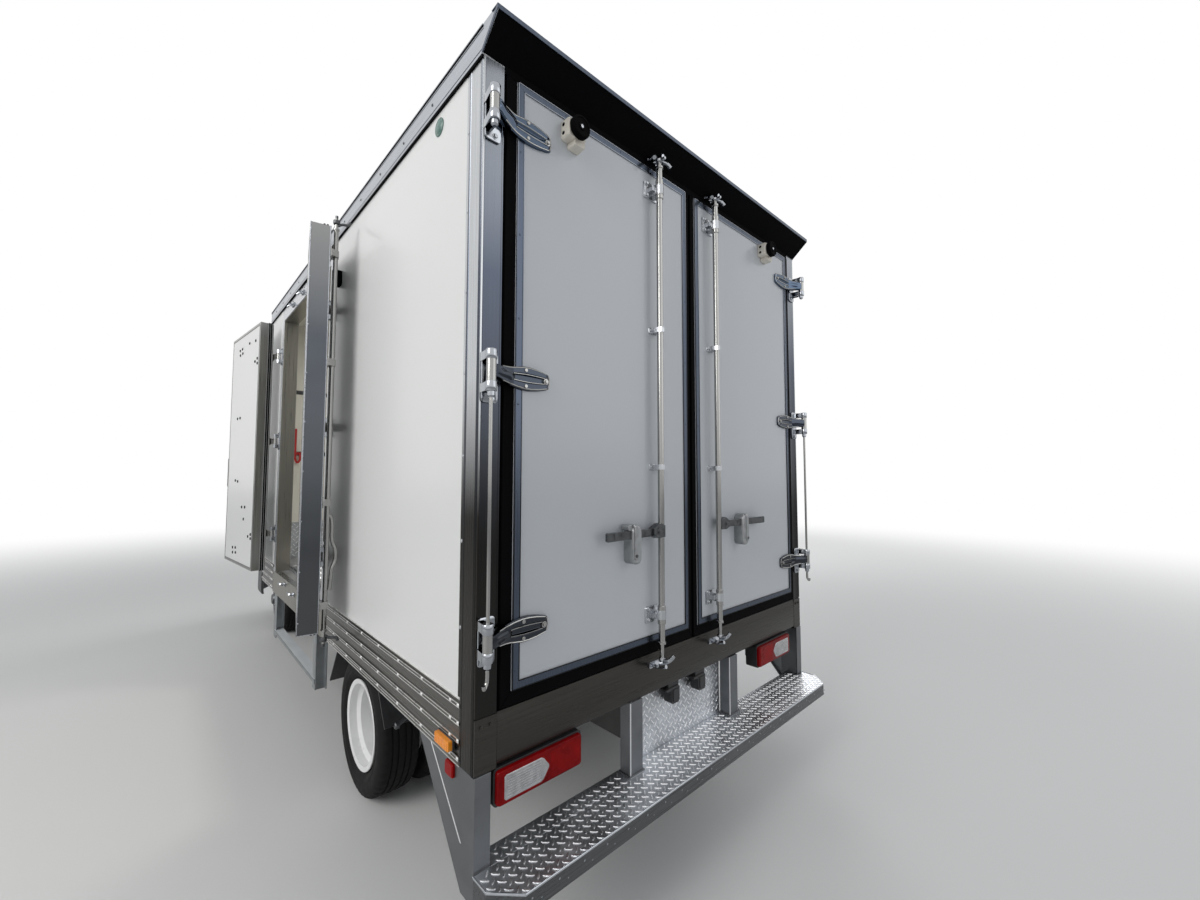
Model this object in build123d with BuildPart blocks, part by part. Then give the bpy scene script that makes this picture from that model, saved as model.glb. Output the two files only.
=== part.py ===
from build123d import *
import math
import os

os.makedirs("parts", exist_ok=True)

# Refrigerated truck, in millimetres. X points to its right, Y forward and Z up from the ground.
# The origin is on the ground under the middle of its overall length and width.
# Places along the truck are written as REAR plus the distance forward of the rear door frame.
# Places across it are written from its centre line, which stands MIDDLE to the right of the origin,
# because the side doors stand open on the left.

OVERALL_LENGTH = 5977
STEP_OVERHANG = 172
REAR = STEP_OVERHANG - OVERALL_LENGTH / 2
MIDDLE = 58
SIDES = (("left", -1), ("right", 1))

# Insulated body
BODY_HALF = 1100
BODY_LENGTH = 3830
WALL = 75
FLOOR_BOTTOM = 790
FLOOR_TOP = 890
SKIRT_BOTTOM = 712
PANEL_BOTTOM = 920
ROOF_BOTTOM = 3030
ROOF_TOP = 3120
POST_WIDTH = 78
POST_DEPTH = 88
RAIL_PROUD = 6

# Side doorway in the left wall
DOORWAY_REAR = 1840
SILL_TOP = 865
DOORWAY_FRONT = 3250
DOORWAY_POST = 75
DOORWAY_TOP = 2902
LEAF_BOTTOM = 873
LEAF_TOP = 2890
LEAF_THICK = 92
DOOR_FRAME_X = (BODY_HALF - LEAF_THICK - 8, BODY_HALF)
DOOR_POSTS_Y = (
    (DOORWAY_REAR - DOORWAY_POST, DOORWAY_REAR),
    (DOORWAY_FRONT, DOORWAY_FRONT + DOORWAY_POST),
)
BESIDE_DOORWAY = ((POST_DEPTH, DOORWAY_REAR - DOORWAY_POST), (DOORWAY_FRONT + DOORWAY_POST, BODY_LENGTH))

# Rear doors
DOOR_BOTTOM = 941
DOOR_TOP = 2988
DOOR_OUTER_EDGE = 976
DOOR_INNER_EDGE = 36
DOOR_THICK = 100
DOOR_PROUD = 12

# Chassis and wheels
RAIL_INNER = 290
RAIL_OUTER = 350
CHASSIS_BOTTOM = 520
CHASSIS_TOP = 700
CHASSIS_FRONT = 5560
REAR_AXLE = 1356
FRONT_AXLE = 4700
TYRE_RADIUS = 345
AXLE_HEIGHT = TYRE_RADIUS
FRONT_HUB_FACE = 850
REAR_HUB_FACE = 803
KINGPIN_X = 623
RUNNING = 0.3

# Cab
CAB_REAR = 4040
CAB_HALF = 910
CAB_WALL = 45
CAB_TOP = 2250
CAB_PIVOT_Y = 5640
CAB_PIVOT_Z = 700
ARCH_RADIUS = 430


def slab(x, y, z, mode=Mode.ADD):
    """Box between low and high X, Y and Z, with Y measured forward from the rear frame."""
    centre = ((x[0] + x[1]) / 2, REAR + (y[0] + y[1]) / 2, (z[0] + z[1]) / 2)
    with Locations(centre):
        Box(x[1] - x[0], y[1] - y[0], z[1] - z[0], mode=mode)


def sided(side, low, high):
    """X range on the left (-1) or right (1) of the centre line, from distances outward."""
    return (low, high) if side > 0 else (-high, -low)


def rod(start, end, radius, mode=Mode.ADD):
    """Round bar between two points, with Y measured forward from the rear frame."""
    foot = Vector(start[0], REAR + start[1], start[2])
    tip = Vector(end[0], REAR + end[1], end[2])
    with BuildSketch(Plane(origin=foot, z_dir=tip - foot)) as section:
        Circle(radius)
    extrude(section.sketch, amount=(tip - foot).length, mode=mode)


def profile(points, plane, amount, mode=Mode.ADD):
    """Extrude a closed outline of straight lines from the given plane."""
    with BuildSketch(plane) as section:
        with BuildLine():
            Polyline(*points, close=True)
        make_face()
    extrude(section.sketch, amount=amount, mode=mode)


def cross_plane(y):
    """Plane across the truck, facing forward: sketch X is the truck's left, sketch Y is up."""
    return Plane(origin=(0, REAR + y, 0), x_dir=(-1, 0, 0), z_dir=(0, 1, 0))


def side_plane(x):
    """Plane along the truck: sketch X runs forward from the rear frame, sketch Y is up."""
    return Plane(origin=(x, REAR, 0), x_dir=(0, 1, 0), z_dir=(1, 0, 0))


def save(solid, name):
    """Write a solid to its own file, moved from the centre line's frame to the truck's."""
    placed = solid.moved(Location((MIDDLE, 0, 0)))
    placed.label = name
    export_step(placed, f"parts/{name}.step")


def finish(piece, name):
    save(piece.part, name)


# Chassis frame: two rails, cross members, front lugs with the tow eyes and the cab's hinge lugs
CROSS_MEMBERS = (140, 760, 1900, 2600, 3400)
CROSS_MEMBER_Z = (600, 680)
TOW_EYE_Y = 5500
TOW_EYE_Z = 480
TOW_EYE_RADIUS = 20
TOW_LUG_X = (310, 330)
TOW_LUG_HALF = 45
TOW_LUG_DROP = 40
CHASSIS_REAR = 95
CROSS_MEMBER_DEPTH = 80
FRONT_MEMBER = ((5440, 5520), (560, 640))
HINGE_LUG_X = (300, 335)
HINGE_LUG_HALF = 25
HINGE_LUG_Z = (600, 660)
PIVOT_PIN = 15
PIVOT_PIN_END = 372

with BuildPart() as chassis_frame:
    for _, side in SIDES:
        slab(sided(side, RAIL_INNER, RAIL_OUTER), (CHASSIS_REAR, CHASSIS_FRONT),
             (CHASSIS_BOTTOM, CHASSIS_TOP))
        slab(sided(side, *TOW_LUG_X), (TOW_EYE_Y - TOW_LUG_HALF, TOW_EYE_Y + TOW_LUG_HALF),
             (TOW_EYE_Z - TOW_LUG_DROP, CHASSIS_BOTTOM))
        slab(sided(side, *HINGE_LUG_X), (CHASSIS_FRONT - 60, CAB_PIVOT_Y + HINGE_LUG_HALF), HINGE_LUG_Z)
        slab(sided(side, *HINGE_LUG_X), (CAB_PIVOT_Y - HINGE_LUG_HALF, CAB_PIVOT_Y + HINGE_LUG_HALF),
             (HINGE_LUG_Z[0], CAB_PIVOT_Z + HINGE_LUG_HALF))
        rod((side * HINGE_LUG_X[1], CAB_PIVOT_Y, CAB_PIVOT_Z),
            (side * PIVOT_PIN_END, CAB_PIVOT_Y, CAB_PIVOT_Z), PIVOT_PIN)
    for y in CROSS_MEMBERS:
        slab((-RAIL_INNER, RAIL_INNER), (y, y + CROSS_MEMBER_DEPTH), CROSS_MEMBER_Z)
    slab((-RAIL_INNER, RAIL_INNER), *FRONT_MEMBER)
    rod((-RAIL_OUTER, TOW_EYE_Y, TOW_EYE_Z), (RAIL_OUTER, TOW_EYE_Y, TOW_EYE_Z), TOW_EYE_RADIUS,
        Mode.SUBTRACT)
finish(chassis_frame, "chassis_frame")

# Engine under the cab, as one block
ENGINE = ((-265, 265), (4150, 4740), (480, 1005))
ENGINE_CORNER = 40
with BuildPart() as engine_block:
    slab(*ENGINE)
    fillet(engine_block.edges().filter_by(Axis.Z), ENGINE_CORNER)
finish(engine_block, "engine_block")

# Gearbox and propeller shaft
SHAFT_FRONT = (0, 3700, 500)
SHAFT_REAR = (0, REAR_AXLE + 268, 380)
SHAFT_RADIUS = 38
GEARBOX = ((-150, 150), (3700, 4149), (430, 680))
GEARBOX_CORNER = 60
with BuildPart() as driveline:
    slab(*GEARBOX)
    fillet(driveline.edges().filter_by(Axis.Y), GEARBOX_CORNER)
    rod(SHAFT_REAR, SHAFT_FRONT, SHAFT_RADIUS)
finish(driveline, "driveline")

# Front axle beam with an eye for the kingpin at each end
EYE_RADIUS = 36
EYE_Z = (290, 400)
KINGPIN_RADIUS = 20
BEAM_HALF = 35
BEAM_Z = (305, 385)
KINGPIN_HOLE_Z = (200, 500)
with BuildPart() as front_axle:
    slab((-KINGPIN_X, KINGPIN_X), (FRONT_AXLE - BEAM_HALF, FRONT_AXLE + BEAM_HALF), BEAM_Z)
    for _, side in SIDES:
        rod((side * KINGPIN_X, FRONT_AXLE, EYE_Z[0]), (side * KINGPIN_X, FRONT_AXLE, EYE_Z[1]), EYE_RADIUS)
    for _, side in SIDES:
        low, high = KINGPIN_HOLE_Z
        rod((side * KINGPIN_X, FRONT_AXLE, low), (side * KINGPIN_X, FRONT_AXLE, high),
            KINGPIN_RADIUS + RUNNING, Mode.SUBTRACT)
finish(front_axle, "front_axle")

# Rear axle: tube, differential housing and the spindles that carry the twin wheels
SPINDLE_RADIUS = 40
# columns: half length, radius
AXLE_TUBES = ((520, 55), (870, SPINDLE_RADIUS))
DIFFERENTIAL_RADIUS = 155
PINION_TIP = (0, REAR_AXLE + 260, AXLE_HEIGHT + 32)
PINION_RADIUS = 62
with BuildPart() as rear_axle:
    for half, radius in AXLE_TUBES:
        rod((-half, REAR_AXLE, AXLE_HEIGHT), (half, REAR_AXLE, AXLE_HEIGHT), radius)
    with Locations((0, REAR + REAR_AXLE, AXLE_HEIGHT)):
        Sphere(DIFFERENTIAL_RADIUS)
    rod((0, REAR_AXLE, AXLE_HEIGHT), PINION_TIP, PINION_RADIUS)
finish(rear_axle, "rear_axle")

# Leaf springs: arched packs with a hanger at each end
# columns: axle place, half length, height of the pack's underside at the axle, width range across X
SPRINGS = (
    (FRONT_AXLE, 560, 386, (290, 350)),
    (REAR_AXLE, 600, 401, (290, 350)),
)
LEAF_PACK = 36
SPRING_DROP = 50
HANGER_HALF = 25
HANGER_FOOT = 10
with BuildPart() as leaf_springs:
    for axle, half, low, width in SPRINGS:
        eye_z = CHASSIS_BOTTOM - SPRING_DROP
        for _, side in SIDES:
            with BuildSketch(side_plane(sided(side, *width)[0])):
                with BuildLine():
                    ThreePointArc((axle - half, eye_z), (axle, low), (axle + half, eye_z))
                    Line((axle + half, eye_z), (axle + half, eye_z + LEAF_PACK))
                    ThreePointArc((axle + half, eye_z + LEAF_PACK), (axle, low + LEAF_PACK),
                                  (axle - half, eye_z + LEAF_PACK))
                    Line((axle - half, eye_z + LEAF_PACK), (axle - half, eye_z))
                make_face()
            extrude(amount=width[1] - width[0])
            for end in (-1, 1):
                y = axle + end * (half - HANGER_HALF)
                slab(sided(side, *width), (y - HANGER_HALF, y + HANGER_HALF),
                     (eye_z + HANGER_FOOT, CHASSIS_BOTTOM))
finish(leaf_springs, "leaf_springs")

# Fuel tank and battery box on the right rail, each with two brackets
TANK_X = (400, 900)
TANK_Y = (2150, 3000)
TANK_Z = (330, 655)
TANK_CORNER = 60
TANK_BRACKETS = (2300, 2850)
SIDE_BRACKET_Z = (530, 600)
SIDE_BRACKET_HALF = 28
with BuildPart() as fuel_tank:
    slab(TANK_X, TANK_Y, TANK_Z)
    fillet(fuel_tank.edges().filter_by(Axis.Y), TANK_CORNER)
    for y in TANK_BRACKETS:
        slab((RAIL_OUTER, TANK_X[0] + 10), (y - SIDE_BRACKET_HALF, y + SIDE_BRACKET_HALF), SIDE_BRACKET_Z)
finish(fuel_tank, "fuel_tank")

BATTERY_X = (420, 860)
BATTERY_Y = (3250, 3700)
BATTERY_Z = (380, 660)
BATTERY_CORNER = 20
BATTERY_BRACKETS = (3330, 3620)
with BuildPart() as battery_box:
    slab(BATTERY_X, BATTERY_Y, BATTERY_Z)
    fillet(battery_box.edges().filter_by(Axis.Z), BATTERY_CORNER)
    for y in BATTERY_BRACKETS:
        slab((RAIL_OUTER, BATTERY_X[0]), (y - SIDE_BRACKET_HALF, y + SIDE_BRACKET_HALF), SIDE_BRACKET_Z)
finish(battery_box, "battery_box")

# Exhaust on the left: front pipe, silencer and tail pipe ahead of the rear wheels
EXHAUST_X = -480
EXHAUST_Z = 500
# columns: rear end, front end, radius
PIPES = ((2180, 4080, 28), (2500, 3050, 95))
EXHAUST_BRACKETS = (2580, 2950)
EXHAUST_BRACKET_Z = (560, 620)
EXHAUST_BRACKET_HALF = 15
with BuildPart() as exhaust:
    for low, high, radius in PIPES:
        rod((EXHAUST_X, low, EXHAUST_Z), (EXHAUST_X, high, EXHAUST_Z), radius)
    for y in EXHAUST_BRACKETS:
        slab((EXHAUST_X + 60, -RAIL_OUTER), (y - EXHAUST_BRACKET_HALF, y + EXHAUST_BRACKET_HALF),
             EXHAUST_BRACKET_Z)
finish(exhaust, "exhaust")


def wheel_outline(face, turn):
    """Closed outline of a dished steel rim, as distances along X and radii.

    face is the X of the hub face, and turn is 1 where the rim is dished outward along X.
    """
    tyre_side = ((31, 220.5), (39, 220.5), (42, 204), (75, 203), (90, 182), (150, 182), (165, 203),
                 (198, 204), (201, 220.5), (209, 220.5))
    disc_side = ((209, 212), (205, 196), (168, 195), (153, 174), (88, 174), (72, 195), (50, 192),
                 (36, 150), (10, 108), (10, 50), (0, 50), (0, 112), (25, 155), (36, 200), (31, 206))
    return [(face + turn * across, radius) for across, radius in tyre_side + disc_side]


def tyre_outline(middle):
    """Closed outline of a tyre about its middle plane, as distances along X and radii."""
    half = ((-70, 204.3), (-70, 221), (-98, 252), (-97, 300), (-86, 334), (-66, TYRE_RADIUS))
    return [(middle + x, r) for x, r in half] + [(middle - x, r) for x, r in reversed(half)]


def turned(points, side, axle, mode=Mode.ADD):
    """Revolve an outline of X distances outward and radii about a wheel's axis."""
    centre = (0, REAR + axle, AXLE_HEIGHT)
    with BuildSketch(Plane(origin=centre, x_dir=(side, 0, 0), z_dir=(0, side, 0))) as section:
        with BuildLine():
            Polyline(*points, close=True)
        make_face()
    revolve(section.sketch, axis=Axis(centre, (1, 0, 0)), mode=mode)


# Front wheels, each on a steering knuckle, and the twin rear wheels
RIM_OFFSET = 115
STUB_RADIUS = 30
STUB_END = 833
YOKE_Z = ((255, 289), (401, 435))
YOKE_WEB = (668, 693)
YOKE_WEB_Z = (255, 435)
YOKE_RADIUS = 34
YOKE_HALF = 30
YOKE_WEB_HALF = 45
TYRE_SHIFT = RIM_OFFSET + 5
# columns: distance out from the wheel's mounting face, radius
FRONT_HUB = ((-151, STUB_RADIUS + RUNNING), (-151, 140), (-97, 140), (-97, 75), (-47, 75), (-47, 70),
             (13, 70), (13, 55), (38, 45), (38, 0), (-12, 0), (-12, STUB_RADIUS + RUNNING))
for name, side in SIDES:
    with BuildPart() as knuckle:
        for low, high in YOKE_Z:
            rod((side * KINGPIN_X, FRONT_AXLE, low), (side * KINGPIN_X, FRONT_AXLE, high),
                YOKE_RADIUS)
            slab(sided(side, KINGPIN_X, YOKE_WEB[1]), (FRONT_AXLE - YOKE_HALF, FRONT_AXLE + YOKE_HALF),
                 (low, high))
        slab(sided(side, *YOKE_WEB), (FRONT_AXLE - YOKE_WEB_HALF, FRONT_AXLE + YOKE_WEB_HALF), YOKE_WEB_Z)
        rod((side * KINGPIN_X, FRONT_AXLE, YOKE_Z[0][0]), (side * KINGPIN_X, FRONT_AXLE, YOKE_Z[1][1]),
            KINGPIN_RADIUS)
        rod((side * YOKE_WEB[0], FRONT_AXLE, AXLE_HEIGHT), (side * STUB_END, FRONT_AXLE, AXLE_HEIGHT),
            STUB_RADIUS)
    finish(knuckle, f"knuckle_{name}")

    with BuildPart() as front_rim:
        turned(wheel_outline(FRONT_HUB_FACE, -1), side, FRONT_AXLE)
        turned([(FRONT_HUB_FACE + out, radius) for out, radius in FRONT_HUB], side, FRONT_AXLE)
    finish(front_rim, f"front_rim_{name}")

    with BuildPart() as front_tyre:
        turned(tyre_outline(FRONT_HUB_FACE - TYRE_SHIFT), side, FRONT_AXLE)
    finish(front_tyre, f"front_tyre_{name}")

    with BuildPart() as rear_rims:
        turned(wheel_outline(REAR_HUB_FACE, 1), side, REAR_AXLE)
        turned(wheel_outline(REAR_HUB_FACE, -1), side, REAR_AXLE)
        hub = ((560, SPINDLE_RADIUS + RUNNING), (560, 165), (740, 165), (740, 90), (830, 90), (830, 70),
               (905, 70), (905, 0), (875, 0), (875, SPINDLE_RADIUS + RUNNING))
        turned(hub, side, REAR_AXLE)
    finish(rear_rims, f"rear_rims_{name}")

    with BuildPart() as rear_tyres:
        for outward in (-1, 1):
            turned(tyre_outline(REAR_HUB_FACE + outward * TYRE_SHIFT), side, REAR_AXLE)
    finish(rear_tyres, f"rear_tyres_{name}")

# Rear mudguards: a flat top with slanting ends, hung from the cross bearers on each side
GUARD_X = (595, 1040)
GUARD = ((-430, 490), (-330, 640), (-250, 705), (250, 705), (330, 640), (470, 430),
         (476, 434), (336, 645), (252, 711), (-252, 711), (-336, 645), (-436, 494))
with BuildPart() as rear_mudguards:
    for _, side in SIDES:
        outline = [(REAR_AXLE + y, z) for y, z in GUARD]
        profile(outline, side_plane(sided(side, *GUARD_X)[0]), GUARD_X[1] - GUARD_X[0])
finish(rear_mudguards, "rear_mudguards")

# Load floor on its cross bearers, with a kerb under each side wall, a notch for each door post and a
# lower edge for the side leaves
BEARERS = (120, 560, 880, 1815, 2250, 2700, 3150, 3680)
BEARER_DEPTH = 60
KERB_X = (BODY_HALF - WALL, BODY_HALF - 40)
with BuildPart() as box_floor:
    slab((-KERB_X[1], KERB_X[1]), (POST_DEPTH, BODY_LENGTH - WALL), (FLOOR_BOTTOM, FLOOR_TOP))
    for y in BEARERS:
        slab((-KERB_X[1], KERB_X[1]), (y, y + BEARER_DEPTH), (CHASSIS_TOP, FLOOR_BOTTOM))
    slab(KERB_X, (POST_DEPTH, BODY_LENGTH - WALL), (FLOOR_TOP, PANEL_BOTTOM))
    for low, high in BESIDE_DOORWAY:
        slab((-KERB_X[1], -KERB_X[0]), (low, min(high, BODY_LENGTH - WALL)), (FLOOR_TOP, PANEL_BOTTOM))
    for low, high in DOOR_POSTS_Y:
        slab((-KERB_X[1], -DOOR_FRAME_X[0]), (low, high), (FLOOR_BOTTOM, FLOOR_TOP), Mode.SUBTRACT)
    slab((-KERB_X[1], -DOOR_FRAME_X[0]), (DOORWAY_REAR, DOORWAY_FRONT), (SILL_TOP, FLOOR_TOP), Mode.SUBTRACT)
finish(box_floor, "box_floor")

# Side skirts: a ribbed extrusion along each side, stopped at the side doorway
SKIRT_INNER = BODY_HALF - 40
SKIRT_OUTER = BODY_HALF
RIB_OUT = 5
RIB_HALF = 9
RIBS_Z = (735, 790, 845, 900)
skirt_outline = [(SKIRT_INNER, SKIRT_BOTTOM), (SKIRT_OUTER, SKIRT_BOTTOM)]
for rib in RIBS_Z:
    skirt_outline += [(SKIRT_OUTER, rib - RIB_HALF), (SKIRT_OUTER + RIB_OUT, rib - RIB_HALF + 3),
                      (SKIRT_OUTER + RIB_OUT, rib + RIB_HALF - 3), (SKIRT_OUTER, rib + RIB_HALF)]
skirt_outline += [(SKIRT_OUTER, PANEL_BOTTOM), (SKIRT_INNER, PANEL_BOTTOM)]
# columns: side, rear end, front end
SKIRTS = (
    (-1, POST_DEPTH, DOORWAY_REAR - DOORWAY_POST),
    (-1, DOORWAY_FRONT + DOORWAY_POST, BODY_LENGTH),
    (1, POST_DEPTH, BODY_LENGTH),
)
with BuildPart() as side_skirts:
    for side, low, high in SKIRTS:
        outline = [(-side * x, z) for x, z in skirt_outline]
        profile(outline, cross_plane(low), high - low)
finish(side_skirts, "side_skirts")

# Insulated walls and roof
WALL_X = (BODY_HALF - WALL, BODY_HALF)
with BuildPart() as box_wall_left:
    for low, high in BESIDE_DOORWAY:
        slab(sided(-1, *WALL_X), (low, high), (PANEL_BOTTOM, ROOF_BOTTOM))
finish(box_wall_left, "box_wall_left")

with BuildPart() as box_wall_right:
    slab(WALL_X, (POST_DEPTH, BODY_LENGTH), (PANEL_BOTTOM, ROOF_BOTTOM))
finish(box_wall_right, "box_wall_right")

with BuildPart() as box_front_wall:
    slab((-WALL_X[0], WALL_X[0]), (BODY_LENGTH - WALL, BODY_LENGTH), (FLOOR_BOTTOM, ROOF_BOTTOM))
finish(box_front_wall, "box_front_wall")

ROOF_HALF = BODY_HALF - 8
with BuildPart() as box_roof:
    slab((-ROOF_HALF, ROOF_HALF), (0, BODY_LENGTH), (ROOF_BOTTOM, ROOF_TOP - 4))
finish(box_roof, "box_roof")

# Roof rails along both sides and the front, and the visor that overhangs the rear doors
RAIL_SIDE = BODY_HALF + RAIL_PROUD
RAIL_DROP = 14
VISOR_REACH = 94
VISOR_LIP = 12
FRONT_RAIL = (BODY_LENGTH, BODY_LENGTH + 12)
with BuildPart() as roof_rails:
    for _, side in SIDES:
        slab(sided(side, ROOF_HALF, RAIL_SIDE), (0, BODY_LENGTH), (ROOF_BOTTOM, ROOF_TOP))
        slab(sided(side, BODY_HALF, RAIL_SIDE), (0, BODY_LENGTH), (ROOF_BOTTOM - RAIL_DROP, ROOF_BOTTOM))
    slab((-RAIL_SIDE, RAIL_SIDE), FRONT_RAIL, (ROOF_BOTTOM - RAIL_DROP, ROOF_TOP))
    visor = [(0, ROOF_BOTTOM), (0, ROOF_TOP), (-VISOR_REACH, ROOF_TOP), (-VISOR_REACH, ROOF_TOP - VISOR_LIP)]
    profile(visor, side_plane(-RAIL_SIDE), 2 * RAIL_SIDE)
finish(roof_rails, "roof_rails")

# Rear frame: posts, sill, header and the fixed halves of the door hinges
HINGE_PIN_X = BODY_HALF - 8
HINGE_PIN_Y = -60
HINGE_PIN_RADIUS = 7
# columns: lower and upper end of each rear hinge
HINGES_Z = ((1073, 1186), (1895, 2023), (2765, 2878))
HINGE_BARREL = 14
FIXED_BARREL = 28
HINGE_STEP = FIXED_BARREL + 1
POST_FOOT = 716
SILL_Z = (725, 886)
HEADER_Z = (2998, ROOF_BOTTOM)
BETWEEN_POSTS = (-BODY_HALF + POST_WIDTH, BODY_HALF - POST_WIDTH)
with BuildPart() as rear_frame:
    for _, side in SIDES:
        slab(sided(side, BODY_HALF - POST_WIDTH, BODY_HALF), (0, POST_DEPTH), (POST_FOOT, ROOF_BOTTOM))
        for low, high in HINGES_Z:
            for foot, top in ((low, low + FIXED_BARREL), (high - FIXED_BARREL, high)):
                slab(sided(side, HINGE_PIN_X - 12, BODY_HALF), (HINGE_PIN_Y, 0), (foot, top))
                rod((side * HINGE_PIN_X, HINGE_PIN_Y, foot), (side * HINGE_PIN_X, HINGE_PIN_Y, top),
                    HINGE_BARREL)
            rod((side * HINGE_PIN_X, HINGE_PIN_Y, low), (side * HINGE_PIN_X, HINGE_PIN_Y, high),
                HINGE_PIN_RADIUS)
    for height in (SILL_Z, HEADER_Z):
        slab(BETWEEN_POSTS, (0, POST_DEPTH), height)
finish(rear_frame, "rear_frame")

# Rear doors with, as a piece of its own, each door's hinge straps, lock rod and handle
STRAP_Y = (-34, -DOOR_PROUD)
STRAP_TIP = 838
ROD_Y = -50
ROD_RADIUS = 13.5
ROD_Z = (868, 3045)
GUIDES_Z = (1050, 1670, 2260, 2880)
# columns: side name, side, lock rod's distance from the middle, handle's low and high distance
REAR_LOCKS = (
    ("left", -1, 270, (276, 636)),
    ("right", 1, 160, (166, 547)),
)
GUIDE_HALF = (26, 17)
GUIDE_REAR = -70
HANDLE_Z = (1388, 1412)
HANDLE_Y = (-92, -80)
LATCH_Z = (1283, 1434)
LATCH_HALF = 25
LATCH_REAR = -104
for name, side, rod_x, handle in REAR_LOCKS:
    with BuildPart() as rear_door:
        slab(sided(side, DOOR_INNER_EDGE, DOOR_OUTER_EDGE), (-DOOR_PROUD, DOOR_THICK - DOOR_PROUD),
             (DOOR_BOTTOM, DOOR_TOP))
    finish(rear_door, f"rear_door_{name}")

    with BuildPart() as door_gear:
        for low, high in HINGES_Z:
            foot, top = low + HINGE_STEP, high - HINGE_STEP
            slab(sided(side, STRAP_TIP, HINGE_PIN_X - 30), STRAP_Y, (low, high))
            slab(sided(side, HINGE_PIN_X - 40, HINGE_PIN_X), (HINGE_PIN_Y + 2, STRAP_Y[1] - 4), (foot, top))
            rod((side * HINGE_PIN_X, HINGE_PIN_Y, foot), (side * HINGE_PIN_X, HINGE_PIN_Y, top), HINGE_BARREL)
            rod((side * HINGE_PIN_X, HINGE_PIN_Y, low), (side * HINGE_PIN_X, HINGE_PIN_Y, high),
                HINGE_PIN_RADIUS + RUNNING, Mode.SUBTRACT)
        rod((side * rod_x, ROD_Y, ROD_Z[0]), (side * rod_x, ROD_Y, ROD_Z[1]), ROD_RADIUS)
        for z in GUIDES_Z:
            slab(sided(side, rod_x - GUIDE_HALF[0], rod_x + GUIDE_HALF[0]), (GUIDE_REAR, -DOOR_PROUD),
                 (z - GUIDE_HALF[1], z + GUIDE_HALF[1]))
        slab(sided(side, *handle), HANDLE_Y, HANDLE_Z)
        slab(sided(side, rod_x - ROD_RADIUS, rod_x + ROD_RADIUS), (HANDLE_Y[0], ROD_Y), HANDLE_Z)
        latch_x = sum(handle) / 2
        slab(sided(side, latch_x - LATCH_HALF, latch_x + LATCH_HALF), (LATCH_REAR, -DOOR_PROUD), LATCH_Z)
    finish(door_gear, f"rear_door_gear_{name}")

# Frame of the side doorway: two posts, header and sill, with its fixed hinge halves
REAR_PIN = (-BODY_HALF - 20, 1790)
FRONT_PIN = (-BODY_HALF - 25, 3300)
SIDE_HINGES_Z = ((1110, 1220), (1860, 1970), (2560, 2670))
SILL_X = (SKIRT_INNER, BODY_HALF)
SILL_BOTTOM = 700
SIDE_BARREL = 12
with BuildPart() as side_door_frame:
    for post in DOOR_POSTS_Y:
        slab(sided(-1, *DOOR_FRAME_X), post, (FLOOR_BOTTOM, ROOF_BOTTOM))
        slab(sided(-1, *SILL_X), post, (SILL_BOTTOM, FLOOR_BOTTOM))
    slab(sided(-1, *SILL_X), (DOORWAY_REAR, DOORWAY_FRONT), (SILL_BOTTOM, SILL_TOP))
    slab(sided(-1, *DOOR_FRAME_X), (DOORWAY_REAR, DOORWAY_FRONT), (DOORWAY_TOP, ROOF_BOTTOM))
    for pin_x, pin_y in (REAR_PIN, FRONT_PIN):
        for low, high in SIDE_HINGES_Z:
            for foot, top in ((low, low + FIXED_BARREL), (high - FIXED_BARREL, high)):
                slab((pin_x, -BODY_HALF), (pin_y - SIDE_BARREL, pin_y + SIDE_BARREL), (foot, top))
                rod((pin_x, pin_y, foot), (pin_x, pin_y, top), SIDE_BARREL)
            rod((pin_x, pin_y, low), (pin_x, pin_y, high), HINGE_PIN_RADIUS)
finish(side_door_frame, "side_door_frame")

# Side leaves, drawn shut and then turned to the open place they have here
LEAF_GAP = 12
MEETING = 2325
MEETING_HALF = 15
REAR_LEAF_OPEN = 169.5
STRAP_REACH = 190
FRONT_LEAF_OPEN = -174.3
# columns: name, hinge pin, low and high place along the truck, strap's free end, angle it stands open
SIDE_LEAVES = (
    ("rear", REAR_PIN, DOORWAY_REAR + LEAF_GAP, MEETING - MEETING_HALF, DOORWAY_REAR + STRAP_REACH,
     REAR_LEAF_OPEN),
    ("front", FRONT_PIN, MEETING + MEETING_HALF, DOORWAY_FRONT - LEAF_GAP, DOORWAY_FRONT - STRAP_REACH,
     FRONT_LEAF_OPEN),
)
SIDE_STRAP_X = (-BODY_HALF - 14, -BODY_HALF - 6)
SIDE_ROD_X = -BODY_HALF - 24
SIDE_ROD_Y = 2275
SIDE_ROD_RADIUS = 11
SIDE_ROD_Z = (820, 2920)
SIDE_GUIDES_Z = (1000, 1500, 2200, 2760)
SIDE_GUIDE_HALF = (20, 15)
SIDE_GUIDE_X = (SIDE_ROD_X - 14, -BODY_HALF)
SIDE_HANDLE = ((-BODY_HALF - 42, -BODY_HALF - 32), (2030, SIDE_ROD_Y), (1240, 1262))
SIDE_LATCH = ((-BODY_HALF - 42, -BODY_HALF), (2130, 2170), (1215, 1290))
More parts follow.
